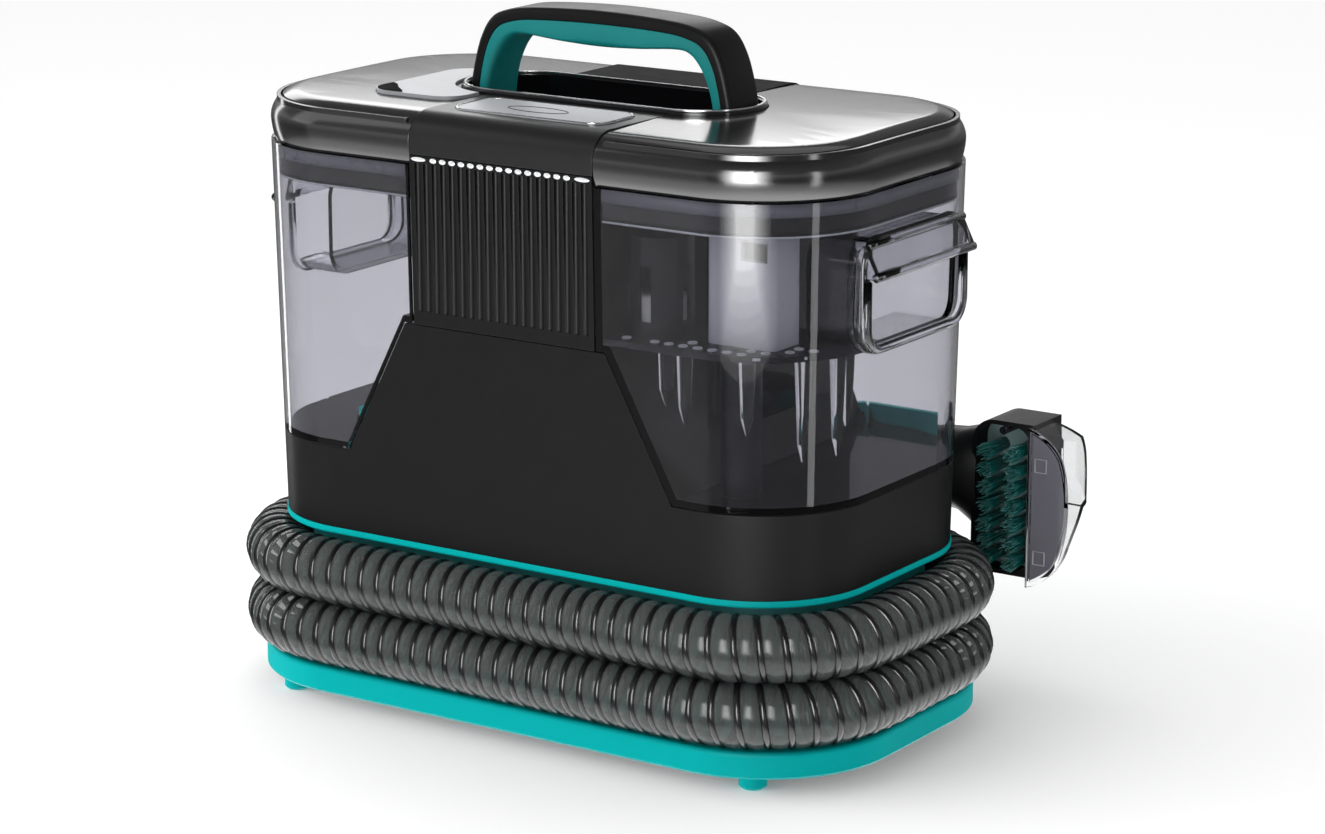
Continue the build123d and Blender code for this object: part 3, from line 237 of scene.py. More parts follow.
# ---- materials ----------------------------------------------------------------------------------
GRAIN_SCALE = 1500.0
GRAIN_DEPTH = 0.08 * MM
EDGE_RADIUS = 0.35 * MM
CLEAR_ROUGHNESS = 0.02
CLEAR_IOR = 1.46
CLEAR_SHADOW = 0.75  # how much of its tint a clear moulding gives to the light that it lets by


def noise(tree, source, scale, detail=3.0):
    """A noise texture over object coordinates; scale is in features per metre."""
    texture = tree.nodes.new("ShaderNodeTexNoise")
    texture.inputs["Scale"].default_value = scale
    texture.inputs["Detail"].default_value = detail
    tree.links.new(source.outputs["Object"], texture.inputs["Vector"])
    return texture


def spread(tree, texture, low, high):
    """Turns a noise value into a range of numbers."""
    stretch = tree.nodes.new("ShaderNodeMapRange")
    stretch.inputs["From Min"].default_value = 0.3
    stretch.inputs["From Max"].default_value = 0.7
    stretch.inputs["To Min"].default_value = low
    stretch.inputs["To Max"].default_value = high
    tree.links.new(texture.outputs["Fac"], stretch.inputs["Value"])
    return stretch.outputs["Result"]


def surface(name, colour, roughness, tone=0.08, swing=0.14, cloud=45.0, grain=0.12, **sockets):
    """A surface that is slightly uneven in tone and gloss, with a fine grain and soft edges.

    tone and swing are how far its colour and roughness vary, cloud is how many patches there are in a
    metre, and grain is the strength of the fine bumps.
    """
    material = bpy.data.materials.new(name)
    material.use_nodes = True
    tree = material.node_tree
    shader = tree.nodes["Principled BSDF"]
    source = tree.nodes.new("ShaderNodeTexCoord")
    clouds = noise(tree, source, cloud)
    mix = tree.nodes.new("ShaderNodeMix")
    mix.data_type = "RGBA"
    mix.inputs["A"].default_value = (*[c * (1 - tone) for c in colour], 1.0)
    mix.inputs["B"].default_value = (*[min(1.0, c * (1 + tone)) for c in colour], 1.0)
    tree.links.new(clouds.outputs["Fac"], mix.inputs["Factor"])
    tree.links.new(mix.outputs["Result"], shader.inputs["Base Color"])
    smears = noise(tree, source, cloud * 3.1, 5.0)
    tree.links.new(
        spread(tree, smears, roughness * (1 - swing), roughness * (1 + swing)), shader.inputs["Roughness"]
    )
    bump = tree.nodes.new("ShaderNodeBump")
    bump.inputs["Strength"].default_value = grain
    bump.inputs["Distance"].default_value = GRAIN_DEPTH
    tree.links.new(noise(tree, source, GRAIN_SCALE, 2.0).outputs["Fac"], bump.inputs["Height"])
    soft_edge = tree.nodes.new("ShaderNodeBevel")
    soft_edge.samples = 4
    soft_edge.inputs["Radius"].default_value = EDGE_RADIUS
    tree.links.new(soft_edge.outputs["Normal"], bump.inputs["Normal"])
    tree.links.new(bump.outputs["Normal"], shader.inputs["Normal"])
    for socket, value in sockets.items():
        shader.inputs[socket.replace("_", " ").title().replace("Ior", "IOR")].default_value = value
    return material


def clear(name, tint):
    """A clear or smoke-tinted moulding. Lamps shine through it tinted, so that what it holds is lit."""
    material = bpy.data.materials.new(name)
    material.use_nodes = True
    tree = material.node_tree
    shader = tree.nodes["Principled BSDF"]
    shader.inputs["Base Color"].default_value = (*tint, 1.0)
    shader.inputs["Transmission Weight"].default_value = 1.0
    shader.inputs["IOR"].default_value = CLEAR_IOR
    source = tree.nodes.new("ShaderNodeTexCoord")
    smears = noise(tree, source, 60.0, 4.0)
    tree.links.new(
        spread(tree, smears, CLEAR_ROUGHNESS * 0.6, CLEAR_ROUGHNESS * 1.6), shader.inputs["Roughness"]
    )
    ripple = tree.nodes.new("ShaderNodeBump")
    ripple.inputs["Strength"].default_value = 0.05
    ripple.inputs["Distance"].default_value = 0.3 * MM
    tree.links.new(noise(tree, source, 55.0, 1.0).outputs["Fac"], ripple.inputs["Height"])
    tree.links.new(ripple.outputs["Normal"], shader.inputs["Normal"])
    path = tree.nodes.new("ShaderNodeLightPath")
    opening = tree.nodes.new("ShaderNodeBsdfTransparent")
    opening.inputs["Color"].default_value = (*[c * CLEAR_SHADOW + 1 - CLEAR_SHADOW for c in tint], 1.0)
    choose = tree.nodes.new("ShaderNodeMixShader")
    tree.links.new(path.outputs["Is Shadow Ray"], choose.inputs[0])
    tree.links.new(shader.outputs["BSDF"], choose.inputs[1])
    tree.links.new(opening.outputs["BSDF"], choose.inputs[2])
    tree.links.new(choose.outputs["Shader"], tree.nodes["Material Output"].inputs["Surface"])
    return material


def make_materials():
    """One finish for each material slot of the record."""
    return {
        "teal_plastic": surface(
            "teal_satin", (0.0, 0.51, 0.51), 0.42, tone=0.04, swing=0.08, specular_ior_level=0.04
        ),
        # painted shade: a darker copy of the teal plastic, for the teal parts that sit in shade
        "dark_teal_plastic": surface("teal_shaded", (0.0, 0.25, 0.25), 0.5),
        "black_satin_plastic": surface(
            "black_satin", (0.007, 0.007, 0.0074), 0.4, tone=0.04, swing=0.05, specular_ior_level=0.16
        ),
        "black_gloss_plastic": surface(
            "black_gloss", (0.006, 0.006, 0.007), 0.07, tone=0.03, swing=0.05, grain=0.01
        ),
        "lid_plastic": surface(
            "lid_graphite", (0.01, 0.01, 0.011), 0.15, tone=0.03, swing=0.04, grain=0.015,
            specular_ior_level=1.0, ior=1.55,
        ),
        "silver_trim": surface("silver_trim", (0.82, 0.82, 0.84), 0.12, grain=0.02, metallic=1.0),
        "button_plastic": surface("silver_paint", (0.42, 0.43, 0.45), 0.4, tone=0.03, swing=0.05, grain=0.05),
        "teal_rubber": surface(
            "teal_soft_touch", (0.0, 0.25, 0.245), 0.55, grain=0.2, specular_ior_level=0.2,
        ),
        "black_rubber": surface("black_rubber", (0.015, 0.015, 0.015), 0.62, grain=0.3),
        "smoke_clear_plastic": clear("smoke_clear", (0.68, 0.68, 0.72)),
        "clear_plastic": clear("clear", (0.95, 0.955, 0.96)),
        "dark_inner_plastic": surface("dark_inner", (0.012, 0.012, 0.017), 0.2, grain=0.05),
        "grey_inner_plastic": surface("grey_inner", (0.5, 0.51, 0.55), 0.3, tone=0.04, grain=0.05),
        "hose_smoke": surface(
            "hose_film", (0.1, 0.113, 0.108), 0.16, swing=0.3, grain=0.03, alpha=0.58, specular_ior_level=0.35
        ),
        "brush_plate_plastic": surface("brush_plate", (0.50, 0.72, 0.71), 0.35),
        "brush_bristle": surface("bristle_nylon", (0.0, 0.17, 0.155), 0.38, tone=0.35, cloud=400.0),
        "steel": surface("zinc_steel", (0.62, 0.62, 0.64), 0.28, metallic=1.0),
        "motor_metal": surface("motor_can", (0.25, 0.26, 0.27), 0.4, metallic=0.8),
        "copper": surface("enamelled_copper", (0.55, 0.25, 0.12), 0.3, metallic=1.0),
        "board_green": surface("solder_mask", (0.02, 0.16, 0.07), 0.35),
        "pump_plastic": surface("glass_filled_nylon", (0.45, 0.45, 0.43), 0.55, grain=0.3),
    }


def finish_nodes(materials):
    """Gives each CAD node the material of its slot. The two top covers have finishes of their own."""
    black = (0.009, 0.009, 0.0095)
    covers = {
        "front_top_cover": surface(
            "cover_satin", black, 0.34, tone=0.04, swing=0.05, specular_ior_level=0.45,
        ),
        "rear_top_cover": surface("cover_matte", black, 0.6, tone=0.04, swing=0.05, specular_ior_level=0.02),
    }
    for subpart in frame["record"]["subparts"]:
        node = nodes[subpart["node"]]
        node.data.materials.clear()
        node.data.materials.append(covers.get(subpart["node"], materials[subpart["material_slot"]]))
    nodes["base_plate"].visible_diffuse = False  # so that it doesn't tint the floor teal


# ---- mesh helpers -------------------------------------------------------------------------------
def mesh_piece(name, points, faces, body, material, replaces=(), smooth=True):
    """A new mesh object that rides on a body, with its finish and the CAD nodes that it stands for."""
    mesh = bpy.data.meshes.new(name)
    mesh.from_pydata([tuple(p) for p in points], [], faces)
    mesh.validate()
    mesh.polygons.foreach_set("use_smooth", [smooth] * len(mesh.polygons))
    mesh.materials.append(material)
    piece = bpy.data.objects.new(name, mesh)
    bpy.context.scene.collection.objects.link(piece)
    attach(piece, body)
    if replaces:
        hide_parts(*replaces)
    return piece


def join_rings(rings, caps=True):
    """Quads between neighbouring rings of equal length, with a cap on each end ring."""
    count = len(rings[0])
    faces = []
    for i in range(len(rings) - 1):
        a, b = i * count, (i + 1) * count
        for j in range(count):
            k = (j + 1) % count
            faces.append((a + j, a + k, b + k, b + j))
    if caps:
        faces.append(tuple(reversed(range(count))))
        faces.append(tuple((len(rings) - 1) * count + j for j in range(count)))
    return faces


def append_shape(points, faces, shape):
    """Adds the points and faces of one more shape to the lists of a mesh in the making."""
    more_points, more_faces = shape
    faces.extend([tuple(len(points) + k for k in face) for face in more_faces])
    points.extend(more_points)


def circle_angles(count):
    """Evenly spaced angles round a full turn, in radians."""
    return [2 * math.pi * i / count for i in range(count)]


def travelling_frames(line):
    """Side and up vectors at each point of a line, turned as little as possible from point to point."""
    last = len(line) - 1
    tangents = [(line[min(i + 1, last)] - line[max(i - 1, 0)]).normalized() for i in range(last + 1)]
    side = tangents[0].orthogonal().normalized()
    frames = []
    for tangent in tangents:
        side = (side - tangent * side.dot(tangent)).normalized()
        frames.append((side, tangent.cross(side)))
    return frames


def tube(line, radius, sides):
    """Points and faces of a round tube along a line; radius is a number or one for each point."""
    rings = []
    turns = circle_angles(sides)
    for i, (centre, (side, up)) in enumerate(zip(line, travelling_frames(line))):
        r = radius[i] if isinstance(radius, list) else radius
        rings.append([centre + side * (r * math.cos(t)) + up * (r * math.sin(t)) for t in turns])
    return [p for ring in rings for p in ring], join_rings(rings)


def smooth_line(points, steps):
    """A Catmull-Rom curve through pairs of coordinates, with steps samples per span."""
    padded = [points[0]] + list(points) + [points[-1]]
    line = []
    for span in zip(padded, padded[1:], padded[2:], padded[3:]):
        for i in range(steps):
            t = i / steps
            place = []
            for before, start, end, after in zip(*span):
                square = 2 * before - 5 * start + 4 * end - after
                cube = 3 * start - before - 3 * end + after
                place.append(0.5 * (2 * start + (end - before) * t + square * t * t + cube * t**3))
            line.append(tuple(place))
    line.append(tuple(points[-1]))
    return line


# ---- hose ---------------------------------------------------------------------------------------
HOSE_DIAMETER = 28.5 * MM
HOSE_PITCH = 8.8 * MM
HOSE_GROOVE = 1.6 * MM
BULGE_POWER = 0.62  # below 1, the film's bulges are fuller than a sine wave
RIB_RADIUS = 1.65 * MM
RIB_PROUD = 0.35 * MM

# The coil's route, in millimetres. TURN_1 and TURN_2 are the heights of its two turns. The lists are the x of
# control points: along the front, where the first turn climbs at the back, and after that.
COIL_HALF_LENGTH = 152.25
COIL_HALF_DEPTH = 84.25
COIL_CORNER = 56.0
TURN_1 = 32.5
TURN_2 = 61.0
CLIMB_START = -96.0
CLIMB_END = 20.0
PORT_FACE = 60.0
FRONT_POINTS = (60, 20, -20, -60)
CLIMB_POINTS = (-84, -54, -22, 8)
AFTER_CLIMB = (34, 68)
CORNER_STEPS = 4

# The hose's way from the coil's left end up to the tool, in millimetres, after the turns.
LEAD_POINTS = [
    (-152.25, 20, 61),
    (-162, 48, 65.5),
    (-154, 82, 76),
    (-128, 103, 88),
    (-95, 106, 97),
    (-62, 106, 97),
]


def corner_points(centre_x, centre_y, start_angle):
    """Control points of a quarter turn, clockwise from start_angle, on the polygon round the arc."""
    step = 90.0 / CORNER_STEPS
    reach = COIL_CORNER / math.cos(math.radians(step / 2))
    angles = [math.radians(start_angle - step * (i + 0.5)) for i in range(CORNER_STEPS)]
    return [(centre_x + reach * math.cos(a), centre_y + reach * math.sin(a)) for a in angles]


def coil_points():
    """Control points of the two turns, in millimetres: from the port, clockwise seen from above."""
    cx, cy = COIL_HALF_LENGTH - COIL_CORNER, COIL_HALF_DEPTH - COIL_CORNER
    half_turn = corner_points(cx, cy, 90)
    half_turn += [(COIL_HALF_LENGTH, 0)]
    half_turn += corner_points(cx, -cy, 0)
    half_turn += [(x, -COIL_HALF_DEPTH) for x in FRONT_POINTS]
    half_turn += corner_points(-cx, -cy, -90)
    points = [(PORT_FACE, COIL_HALF_DEPTH, TURN_1), (PORT_FACE + 16, COIL_HALF_DEPTH, TURN_1)]
    points += [(x, y, TURN_1) for x, y in half_turn]
    points += [(-COIL_HALF_LENGTH, 0, TURN_1)]
    points += [(x, y, TURN_1) for x, y in corner_points(-cx, cy, 180)]
    rise = (TURN_2 - TURN_1) / (CLIMB_END - CLIMB_START)
    for x in CLIMB_POINTS:
        points.append((x, COIL_HALF_DEPTH, TURN_1 + (x - CLIMB_START) * rise))
    points += [(x, COIL_HALF_DEPTH, TURN_2) for x in AFTER_CLIMB]
    points += [(x, y, TURN_2) for x, y in half_turn]
    points += [(-COIL_HALF_LENGTH, -8, TURN_2)]
    return points


def hose_line():
    """The hose's centre line: points read from one NURBS spline through its turns and its lead."""
    curve = bpy.data.curves.new("hose_route", "CURVE")
    curve.dimensions = "3D"
    curve.resolution_u = 14
    spline = curve.splines.new("NURBS")
    route = coil_points() + LEAD_POINTS
    spline.points.add(len(route) - 1)
    for point, place in zip(spline.points, route):
        point.co = (*[c * MM for c in place], 1.0)
    spline.order_u = 3
    spline.use_endpoint_u = True
    holder = bpy.data.objects.new("hose_route", curve)
    bpy.context.scene.collection.objects.link(holder)
    bpy.context.view_layer.update()
    sampled = bpy.data.meshes.new_from_object(holder)
    line = [v.co.copy() for v in sampled.vertices]
    bpy.data.objects.remove(holder)
    bpy.data.meshes.remove(sampled)
    return line


def even_steps(line, step):
    """The same line with points a fixed step apart."""
    spaced = [line[0]]
    left = step
    for a, b in zip(line, line[1:]):
        span = (b - a).length
        done = 0.0
        while span - done >= left:
            done += left
            spaced.append(a.lerp(b, done / span))
            left = step
        left -= span - done
    return spaced


def make_film(line, frames, per_pitch, material):
    """Thin smoke-grey film that bulges between the turns of the rib."""
    around = 40
    rings = []
    for i, (centre, (side, up)) in enumerate(zip(line, frames)):
        ring = []
        for j, angle in enumerate(circle_angles(around)):
            phase = (i / per_pitch - j / around) % 1.0
            bulge = math.sin(math.pi * phase) ** BULGE_POWER
            reach = HOSE_DIAMETER / 2 - HOSE_GROOVE * (1 - bulge)
            ring.append(centre + side * (reach * math.cos(angle)) + up * (reach * math.sin(angle)))
        rings.append(ring)
    points = [p for ring in rings for p in ring]
    return mesh_piece(
        "hose_film", points, join_rings(rings, caps=False), "chassis", material,
        ("hose_coil", "hose_lead"),
    )


def make_rib(line, frames, per_pitch):
    """The dark spiral rib in the film's groove."""
    material = surface("hose_rib", (0.006, 0.006, 0.007), 0.24, grain=0.02)
    per_turn = 30
    reach = HOSE_DIAMETER / 2 - HOSE_GROOVE + RIB_PROUD
    spiral = []
    for k in range((len(line) - 1) // per_pitch * per_turn):
        along = k / per_turn * per_pitch
        i = int(along)
        centre = line[i].lerp(line[i + 1], along - i)
        side, up = frames[i]
        angle = 2 * math.pi * k / per_turn
        spiral.append(centre + (side * math.cos(angle) + up * math.sin(angle)) * reach)
    points, faces = tube(spiral, RIB_RADIUS, 6)
    return mesh_piece("hose_spiral_rib", points, faces, "chassis", material)


def make_hose(materials):
    """The suction hose: a film and a spiral rib along one line."""
    per_pitch = 10
    line = even_steps(hose_line(), HOSE_PITCH / per_pitch)
    frames = travelling_frames(line)
    film = make_film(line, frames, per_pitch, materials["hose_smoke"])
    rib = make_rib(line, frames, per_pitch)


# ---- handle -------------------------------------------------------------------------------------
def mirrored(points):
    """The right half of an outline, from the foot up to the crown, and its mirror image on the left."""
    return points + [(-x, z) for x, z in reversed(points[:-1])]


def arch_piece(name, outer, inner, half_width, outer_round, inner_round, material, node):
    """A bar of rounded section between two matching outlines, each a list of (x, z) in metres.

    u runs from the inner outline to the outer one and v runs from front to back.
    """
    round_steps = 6
    corners = [
        (-1, 1, 180, outer_round), (1, 1, 90, outer_round),
        (1, -1, 0, inner_round), (-1, -1, -90, inner_round),
    ]
    rings = []
    for (ox, oz), (ix, iz) in zip(outer, inner):
        start, end = Vector((ix, 0, iz)), Vector((ox, 0, oz))
        reach = end - start
        thick = reach.length
        out = reach / thick
        ring = []
        for sign_v, sign_u, first, corner in corners:
            r = min(corner, thick * 0.49)
            u0 = thick - r if sign_u > 0 else r
            v0 = sign_v * (half_width - r)
            for step in range(round_steps + 1):
                a = math.radians(first - 90 * step / round_steps)
                ring.append(start + out * (u0 + r * math.sin(a)) + Vector((0, v0 + r * math.cos(a), 0)))
        rings.append(ring)
    points = [p for ring in rings for p in ring]
    return mesh_piece(name, points, join_rings(rings), "chassis", material, (node,))


# Right halves of the handle's outlines, from the foot up: x, and how far below the crown, in millimetres.
HANDLE_OUTER = [
    (68.6, 45.3), (67.8, 36.3), (66.0, 27.3), (62.6, 16.3), (57.5, 7.8), (50.0, 3.7), (35.0, 1.3),
]
HANDLE_SEAM = [
    (63.6, 45.3), (62.8, 36.3), (61.0, 27.3), (58.2, 18.8), (53.8, 12.1), (47.5, 8.7), (34.0, 6.5),
]
HANDLE_INNER = [
    (58.6, 45.3), (57.6, 36.3), (55.4, 28.3), (51.0, 20.3), (45.5, 14.9), (38.0, 13.7), (19.0, 15.1),
]
SEAM_DROP = 5.6 * MM
INNER_DROP = 15.8 * MM
FOOT_FLARE = 0.4 * MM


def handle_outline(half_mm, foot, crown, drop):
    """A whole outline of the handle, from its left foot over the crown to its right foot."""
    half = [(x * MM, crown - below * MM) for x, below in half_mm]
    half = [(half[0][0] + FOOT_FLARE, foot)] + half + [(0.0, crown - drop)]
    return smooth_line(mirrored(half), 8)


def make_handle(materials):
    """The black cover on the outside of the arch and the teal soft grip on its inside."""
    low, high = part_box("handle_cover")
    outer = handle_outline(HANDLE_OUTER, low.z, high.z, 0.0)
    middle = handle_outline(HANDLE_SEAM, low.z, high.z, SEAM_DROP)
    inner = handle_outline(HANDLE_INNER, low.z, high.z, INNER_DROP)
    arch_piece(
        "handle_cover_shell", outer, middle, high.y, 4.6 * MM, 0.5 * MM, materials["black_satin_plastic"],
        "handle_cover",
    )
    arch_piece(
        "handle_soft_grip", middle, inner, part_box("handle_grip")[1].y, 0.5 * MM, 3.6 * MM,
        materials["teal_rubber"], "handle_grip",
    )


# ---- brush --------------------------------------------------------------------------------------
TUFT_ROWS = 7
TUFT_EDGE = 3.2 * MM  # from the tufts' box to the middle of the outer ones
TUFT_RADIUS = 3.3 * MM
FILAMENTS = 76
FILAMENT_RADII = [0.32 * MM, 0.32 * MM, 0.29 * MM, 0.17 * MM]  # from the root to the tip
BRISTLE_ROOT = 1.5 * MM  # how deep the bristles start inside the plate
ROOT_WIDTH = 0.75  # a tuft's width at its root, as a share of the full one
SPLAY = 0.42  # how much wider it is at its tip


def make_bristles(materials):
    """Each tuft is a bundle of bent filaments that spread towards their tips."""
    low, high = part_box("brush_tufts")
    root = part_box("brush_plate")[0].y + BRISTLE_ROOT
    draw = random.Random(7)
    spacing = (high.z - low.z - 2 * TUFT_EDGE) / (TUFT_ROWS - 1)
    points, faces = [], []
    for foot_x in (low.x + TUFT_EDGE, high.x - TUFT_EDGE):
        for row in range(TUFT_ROWS):
            foot_z = low.z + TUFT_EDGE + row * spacing
            for _ in range(FILAMENTS):
                reach = TUFT_RADIUS * math.sqrt(draw.random())
                turn = draw.uniform(0, 2 * math.pi)
                dx, dz = reach * math.cos(turn), reach * math.sin(turn)
                splay = SPLAY + draw.uniform(-0.08, 0.14)
                tip = low.y + draw.uniform(-2.2, 0.8) * MM
                line = []
                for t in (0.0, 0.35, 0.7, 1.0):
                    wide = ROOT_WIDTH + splay * t * t
                    line.append(Vector((foot_x + dx * wide, root + (tip - root) * t, foot_z + dz * wide)))
                append_shape(points, faces, tube(line, FILAMENT_RADII, 5))
    mesh_piece(
        "brush_bristles", points, faces, "chassis", materials["brush_bristle"],
        ("brush_tufts",),
    )


# ---- tanks, lids and flutes ---------------------------------------------------------------------
# The body's outline at the lid line, and the lids and walls, in millimetres.
BODY_HALF_LENGTH = 150.0
BODY_HALF_DEPTH = 84.0
BODY_CORNER = 54.0
LID_LINE = 247.2
LID_TOP = 269.3
LID_DOME = 0.9  # how much lower the lids are at their front and back edges than in the middle
LID_TUCK_TOP = 258.5  # below this height the lids' outer walls curve inwards
LID_TUCK = 1.7  # how far in they are at the lid line
ON_WALL = 0.4  # how near to the outline a point is that belongs to the wall
SHARP_DEGREES = 25.0  # edges of the lids that bend more than this stay sharp
LEAN = 3.7 / 167.2  # how far the walls lean in for each millimetre below the lid line


def outline_distance(x, y):
    """How far a point, in millimetres, lies outside the body's outline at the lid line."""
    dx = abs(x) - BODY_HALF_LENGTH + BODY_CORNER
    dy = abs(y) - BODY_HALF_DEPTH + BODY_CORNER
    return math.hypot(max(dx, 0), max(dy, 0)) + min(max(dx, dy), 0) - BODY_CORNER


def outward(x, y):
    """The direction away from the body's outline at a point."""
    corner_x = max(abs(x) - BODY_HALF_LENGTH + BODY_CORNER, 0)
    corner_y = max(abs(y) - BODY_HALF_DEPTH + BODY_CORNER, 0)
    if corner_x == corner_y == 0:
        return Vector((0, 0, 0))
    return Vector((math.copysign(corner_x, x), math.copysign(corner_y, y), 0)).normalized()


def cut_across(work, place, normal):
    """Cuts a bmesh along a plane, so that it can bend there."""
    geometry = work.verts[:] + work.edges[:] + work.faces[:]
    bmesh.ops.bisect_plane(work, geom=geometry, dist=1e-7, plane_co=place, plane_no=normal)


def make_lid(name, body, material):
    """A slightly domed lid whose outer wall curves inwards to its lower edge."""
    node = nodes[name]
    work = bmesh.new()
    work.from_mesh(node.data)
    work.transform(node.matrix_world)
    bmesh.ops.remove_doubles(work, verts=work.verts, dist=1e-6)
    tuck_height = LID_TUCK_TOP - LID_LINE
    tuck_steps = 7
    for step in range(1, tuck_steps):
        cut_across(work, (0, 0, (LID_LINE + tuck_height * step / tuck_steps) * MM), (0, 0, 1))
    dome_step = 11 * MM
    for step in range(-7, 8):
        cut_across(work, (0, step * dome_step, 0), (0, 1, 0))
    for vertex in work.verts:
        x, y, z = vertex.co / MM
        if z > LID_TUCK_TOP:
            share = (z - LID_TUCK_TOP) / (LID_TOP - LID_TUCK_TOP)
            vertex.co.z -= LID_DOME * (y / BODY_HALF_DEPTH) ** 2 * share * MM
        if z < LID_TUCK_TOP and abs(outline_distance(x, y)) < ON_WALL:
            vertex.co -= outward(x, y) * (LID_TUCK * ((LID_TUCK_TOP - z) / tuck_height) ** 2 * MM)
    for edge in work.edges:
        edge.smooth = edge.calc_face_angle(0.0) < math.radians(SHARP_DEGREES)
    for face in work.faces:
        face.smooth = True
    mesh = bpy.data.meshes.new(f"{name}_shell")
    work.to_mesh(mesh)
    work.free()
    mesh.materials.append(material)
    piece = bpy.data.objects.new(f"{name}_shell", mesh)
    bpy.context.scene.collection.objects.link(piece)
    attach(piece, body)
    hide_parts(name)


# The lines along the tanks' walls, in millimetres.
WALL_START = 50.5  # x where the tanks' walls come out from behind the fluted panel
WALL_END = 77.5  # x where they end at the back
SEPARATOR_END = -20.0  # y where the painted highlight along the separator's edge ends
SEAL_EDGE = (3.4, 232.9)  # how far inside the wall's face, and height
SEAL_EDGE_RADIUS = 0.6
SEPARATOR_EDGE = (3.3, 182.3)
SEPARATOR_EDGE_RADIUS = 0.7
RIM_BAND = (2.6, 2.9, 241.0, 246.6)  # the band's two faces, inside the wall's face, and its two heights


def wall_path(inset, height, side, end=None):
    """A line along a tank's wall at one height, from its front end round to its back end or to y = end."""
    shrink = inset + (LID_LINE - height) * LEAN
    long, deep, corner = BODY_HALF_LENGTH - shrink, BODY_HALF_DEPTH - shrink, BODY_CORNER - shrink
    turns = [math.radians(6 * i) for i in range(16)]
    line = [(WALL_START, -deep)]
    line += [(long - corner + corner * math.sin(t), corner - deep - corner * math.cos(t)) for t in turns]
    if end is None:
        line += [(long - corner + corner * math.cos(t), deep - corner + corner * math.sin(t)) for t in turns]
        line.append((WALL_END, deep))
    else:
        line.append((long, end))
    return [Vector((side * x, y, height)) * MM for x, y in line]


def make_tank_lines():
    """The lid seals' lower edges and the separator plate's edge, painted pale as highlights, and the grey
    band below each lid.
    """
    # painted highlight: a pale colour stands in for the light caught along these edges
    highlight_paint = surface("painted_edge_highlight", (0.55, 0.56, 0.6), 0.25, grain=0.03)
    grey = surface("rim_band", (0.17, 0.175, 0.2), 0.3, tone=0.04, grain=0.05)
    front, back, low, high = RIM_BAND
    for side, tank, lid in ((-1, "clean_tank", "clean_lid"), (1, "dirty_tank", "dirty_lid")):
        points, faces = tube(wall_path(*SEAL_EDGE, side), SEAL_EDGE_RADIUS * MM, 8)
        mesh_piece(f"{lid}_seal_edge", points, faces, lid, highlight_paint)
        corners = ((front, low), (front, high), (back, high), (back, low))
        edges = [wall_path(inset, z, side) for inset, z in corners]
        rings = [list(ring) for ring in zip(*edges)]
        points = [p for ring in rings for p in ring]
        mesh_piece(f"{tank}_rim_band", points, join_rings(rings), tank, grey)
    points, faces = tube(wall_path(*SEPARATOR_EDGE, 1, SEPARATOR_END), SEPARATOR_EDGE_RADIUS * MM, 8)
    mesh_piece("separator_front_edge", points, faces, "dirty_tank", highlight_paint)


# The separator's drain holes, in millimetres: a grid with gaps round the standpipe and the float's cage.
HOLE_PITCH = 7.0
HOLE_COLUMNS = 12
HOLE_ROWS = 4
FIRST_HOLE = (57.5, -73.5)
STANDPIPE = (100.0, -52.0)
FLOAT_CAGE = (64.0, -57.0)
SPOT_CLEARANCE = 17.5
WALL_CLEARANCE = 7.0
COVERED = (85.0, 126.0, -66.0)  # the standpipe's head hides the holes between these x, behind this y
LIP_REACH = 1.75
LIP_RADIUS = 0.4
LIP_LIFT = 0.25


def has_hole(x, y):
    """Whether a place on the grid has a drain hole that can be seen."""
    left, right, front = COVERED
    covered = left < x < right and y > front
    nearest = min(math.hypot(x - spot[0], y - spot[1]) for spot in (STANDPIPE, FLOAT_CAGE))
    return nearest >= SPOT_CLEARANCE and not covered and outline_distance(x, y) <= -WALL_CLEARANCE


def oval_line(centre, reach_x, reach_y, count):
    """A closed, level oval round a centre given in metres; its reaches are in millimetres."""
    turns = circle_angles(count) + [2 * math.pi]
    return [centre + Vector((reach_x * math.cos(t), reach_y * math.sin(t), 0)) * MM for t in turns]


def make_separator_rims():
    """A raised lip round each drain hole of the separator plate."""
    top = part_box("separator_plate")[1].z
    lip = surface("drain_lip", (0.6, 0.61, 0.65), 0.25, tone=0.04, grain=0.03)
    points, faces = [], []
    for column in range(HOLE_COLUMNS):
        for row in range(HOLE_ROWS):
            x, y = FIRST_HOLE[0] + HOLE_PITCH * column, FIRST_HOLE[1] + HOLE_PITCH * row
            if has_hole(x, y):
                centre = Vector((x, y, LIP_LIFT)) * MM + Vector((0, 0, top))
                line = oval_line(centre, LIP_REACH, LIP_REACH, 12)
                append_shape(points, faces, tube(line, LIP_RADIUS * MM, 6))
    mesh_piece("separator_hole_lips", points, faces, "dirty_tank", lip)


# The grips' mouths, in millimetres: the rim's middle line, then the bars' x, reach in y, z and radius.
GRIP_X = 152.2
GRIP_HALF = 39.5
GRIP_FLOOR = 182.4
GRIP_RIM_TOP = 212.0
GRIP_CORNER = 10.0
GRIP_BARS = {"top_bar": (152.0, 38.5, 226.8, 1.8), "visor_lip": (156.6, 40.0, 214.2, 1.9)}


